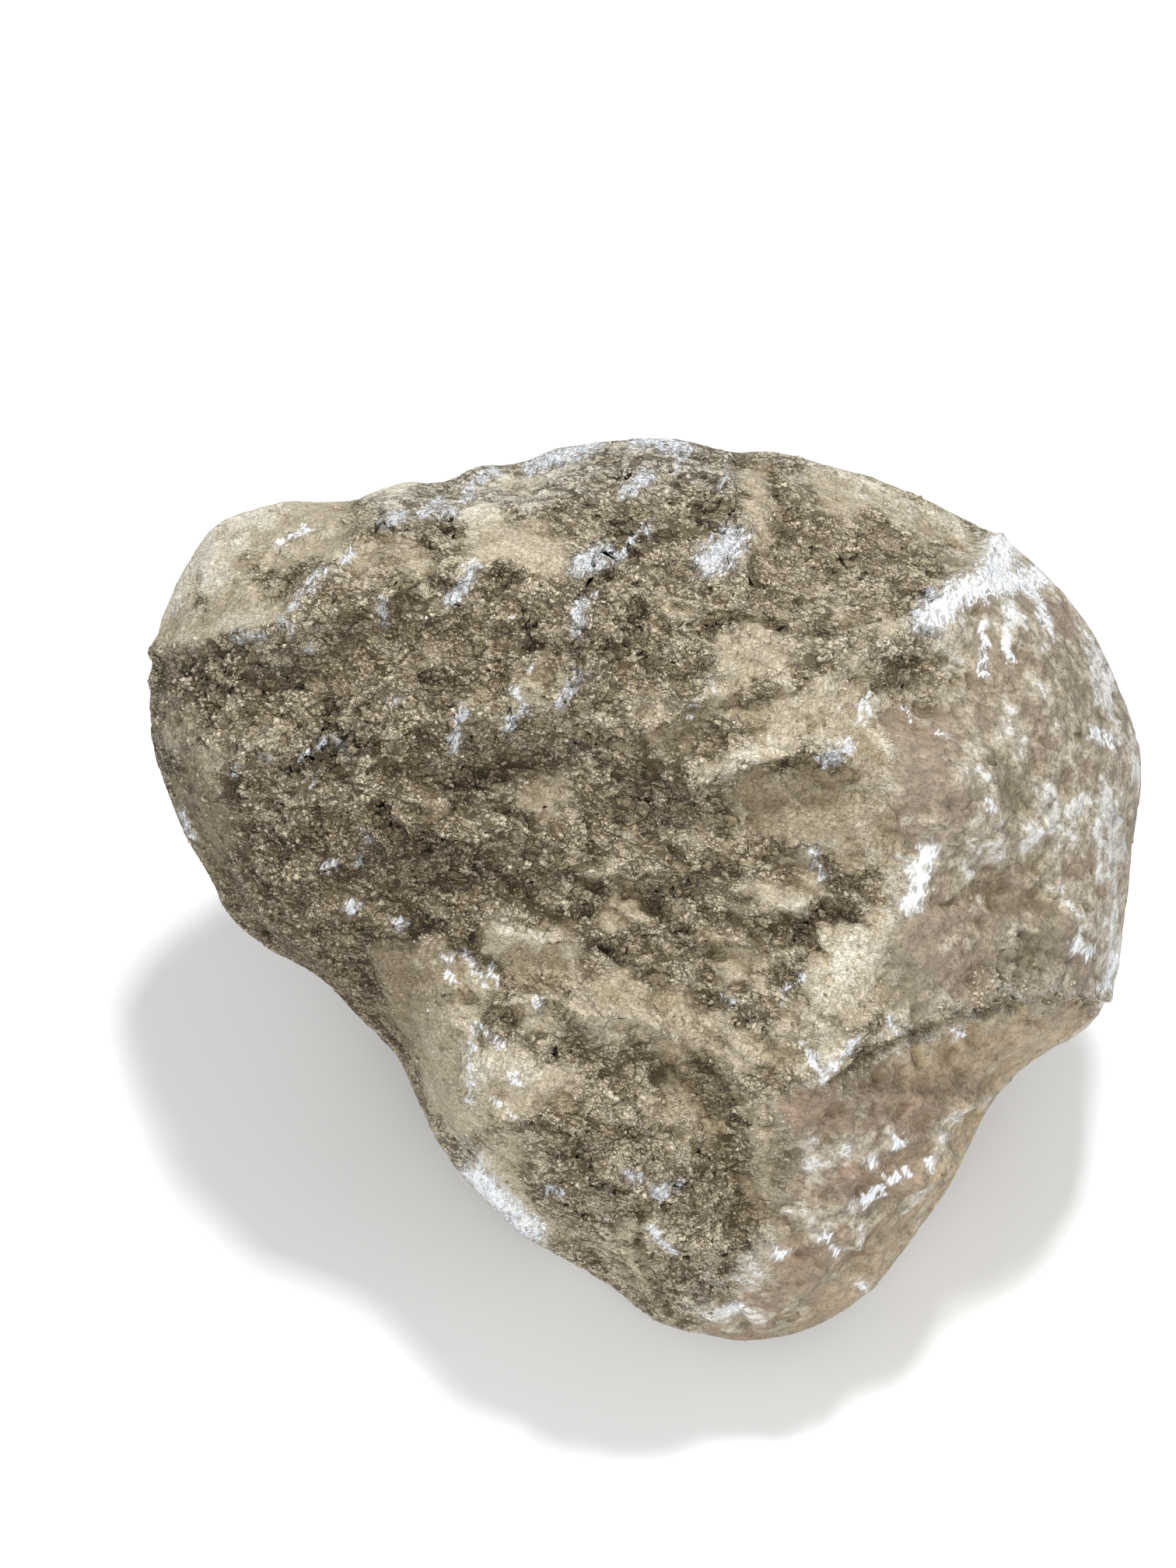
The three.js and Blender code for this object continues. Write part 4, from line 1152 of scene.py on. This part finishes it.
# painted shadow: the gaps between crumbs are painted dark brown, less where the crust is rubbed or bare
open_gaps = finish.times(grain["Gaps"], finish.linear(rub_mask, 0.0, 0.8, 0.45, 0.06))
open_gaps = finish.times(open_gaps, finish.remap(bare, 0.1, 0.45, 1.0, 0.35))
crust = finish.mix(open_gaps, crust, (0.12, 0.091, 0.05, 1))
# painted shadow: the clefts between clods are painted dark, less where rubbed or bare
open_clefts = finish.times(clefts, finish.linear(rub_mask, 0.0, 1.0, 0.88, 0.2))
open_clefts = finish.times(open_clefts, finish.remap(bare, 0.1, 0.6, 1.0, 0.2))
crust = finish.mix(open_clefts, crust, CLEFT_SHADOW_COLOUR)
# painted shade in front, and darker crust on the back, darken the crust here
crust = finish.tint(crust, finish.painted("deep"), (0.56, 0.52, 0.46, 1))

# %% Laying the crust, the painted shade of the hollows and the bruises over the calcite
bare_mask = finish.broken(bare, flakes, 1.8, 0.16)
base = finish.mix(bare_mask, crust, calcite)
# painted shade: the colour is darkened in the hollows of the skin
base = finish.tint(base, finish.linear(finish.painted("hollow"), -0.3, 1.2), (0.74, 0.7, 0.61, 1))
halo_mask = finish.broken(bruise, blotches, 1.2, 0.35, 0.4)
base = finish.mix(finish.times(halo_mask, 0.45), base, (0.56, 0.555, 0.54, 1))
powder = finish.mix(finish.remap(fibres, 0.35, 0.6), (0.60, 0.60, 0.59, 1), (0.79, 0.82, 0.86, 1))
base = finish.mix(finish.broken(bruise, fibres, 1.9, 0.2, 0.58), base, powder)
finish.end({"Base Color": base, "Roughness": finish.linear(bare_mask, 0.0, 1.0, 0.95, 0.62)})

# %% Relief: crumbs on the crust, weaker where it is rubbed smooth, and low curds on the calcite
crumb_reach = finish.linear(rub_mask, 0.0, 1.0, 1.1 * MM, 0.3 * MM)
crust_height = finish.times_plus(open_clefts, -1.3 * MM, finish.times(grain["Height"], crumb_reach))
calcite_height = finish.times(mottle["Height"], 1.0 * MM)
relief = finish.linear(bare_mask, 0.0, 1.0, crust_height, calcite_height)
bump = finish.add("Bump", {"Strength": 1.0, "Distance": 1.0, "Height": relief})
finish.end({"Normal": bump.outputs["Normal"]})
calcite_stone.data.materials.append(finish.material)
print("finish:", len(finish.tree.nodes), "nodes")

# %% [markdown]
# ## The crumbs' material
# The crumbs are the same earth as the crust, so their colours lie close to its own. The stone's material
# could be given to them too, but its patterns would run straight across, and the crumbs would vanish into the
# crust. With a material of their own, each crumb has its own tone, darkened by painted shade where the skin
# is shaded or hollow, and a painted shade darkens it towards its foot. Only the clefts run on across it,
# painted dark as painted shadow. A few crumbs are specks of white calcite.

# %% The crumbs' finish
loose = Finish("earth_crumbs", 0.3)
tone = loose.painted("tone")
crumb = loose.mix(loose.remap(tone, 0.0, 0.55), (0.365, 0.311, 0.23, 1), (0.51, 0.447, 0.34, 1))
crumb = loose.mix(loose.remap(tone, 0.5, 1.0), crumb, (0.575, 0.517, 0.408, 1))
crumb = loose.mix(loose.remap(tone, 1.2, 1.8), crumb, (0.72, 0.71, 0.68, 1))
dust = loose.noise(loose.stone_place(), 0.0005, 2.0)
crumb = loose.shade(crumb, loose.remap(dust, 0.4, 0.58, 0.8, 1.1))
# painted shadow: the clefts run on across the crumbs in the same dark
crumb = loose.mix(loose.times(loose.clefts(), 0.8), crumb, CLEFT_SHADOW_COLOUR)
# painted shade: each crumb is darker towards its foot, where it meets the skin
crumb = loose.tint(crumb, loose.remap(loose.painted("rise"), 0.25, -0.3), (0.66, 0.6, 0.5, 1))
loose.end({"Base Color": crumb, "Roughness": 0.95})
for heap in crumb_heaps:
    heap.data.materials.append(loose.material)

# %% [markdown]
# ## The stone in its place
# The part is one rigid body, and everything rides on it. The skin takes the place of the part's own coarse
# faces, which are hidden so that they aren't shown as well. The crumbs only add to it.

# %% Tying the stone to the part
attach(calcite_stone, "root")
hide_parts("calcite_block")
for heap in crumb_heaps:
    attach(heap, "root")

# %% [markdown]
# ## Floor, light and camera
# Relief shows by its shadows. A lamp straight in front would flatten it, so the stronger lamp hangs above the
# broad face and rakes down it, and every ledge shades what is under it. It is small enough to draw those
# shadows clearly. A broad one from the front, a pale sky and a near-white floor keep hollows from going
# black. The camera is at the eye point and looks squarely at the sheet.

# %% Floor
bpy.ops.object.select_all(action="DESELECT")
bpy.ops.mesh.primitive_plane_add(size=8.0)
floor = bpy.context.object
floor.name = "floor"
floor_finish = bpy.data.materials.new("pale_floor")
floor_finish.use_nodes = True
floor_surface = floor_finish.node_tree.nodes["Principled BSDF"]
floor_surface.inputs["Base Color"].default_value = (0.88, 0.88, 0.88, 1)
floor_surface.inputs["Roughness"].default_value = 0.9
floor.data.materials.append(floor_finish)


# %% Lamps and sky
def add_lamp(name, place_on_sheet, size, energy):
    lamp = new_object(name, bpy.data.lights.new(name, "AREA"))
    lamp.location = from_sheet(*place_on_sheet)
    lamp.rotation_euler = (from_sheet(0, 0, 0) - lamp.location).to_track_quat("-Z", "Y").to_euler()
    lamp.data.size = size
    lamp.data.energy = energy
    return lamp


add_lamp("top_lamp", (0.1, 1.0, 0.8), 0.18, 15.5)
add_lamp("front_lamp", (0.0, -0.4, 1.2), 1.0, 12)
sky = bpy.data.worlds.new("sky")
bpy.context.scene.world = sky
sky.use_nodes = True
sky.node_tree.nodes["Background"].inputs["Color"].default_value = (1, 1, 1, 1)
sky.node_tree.nodes["Background"].inputs["Strength"].default_value = 0.5
bpy.context.scene.view_settings.view_transform = "Standard"

# %% Camera
camera = new_object("camera", bpy.data.cameras.new("camera"))
camera.data.lens = 60
camera.data.sensor_width = 36
camera.data.clip_start = 0.05
camera.matrix_world = Matrix.Translation(from_sheet(*EYE)) @ SHEET_AXES.to_4x4()
bpy.context.scene.camera = camera
print("camera:", [round(x / MM) for x in camera.matrix_world.translation], "mm")
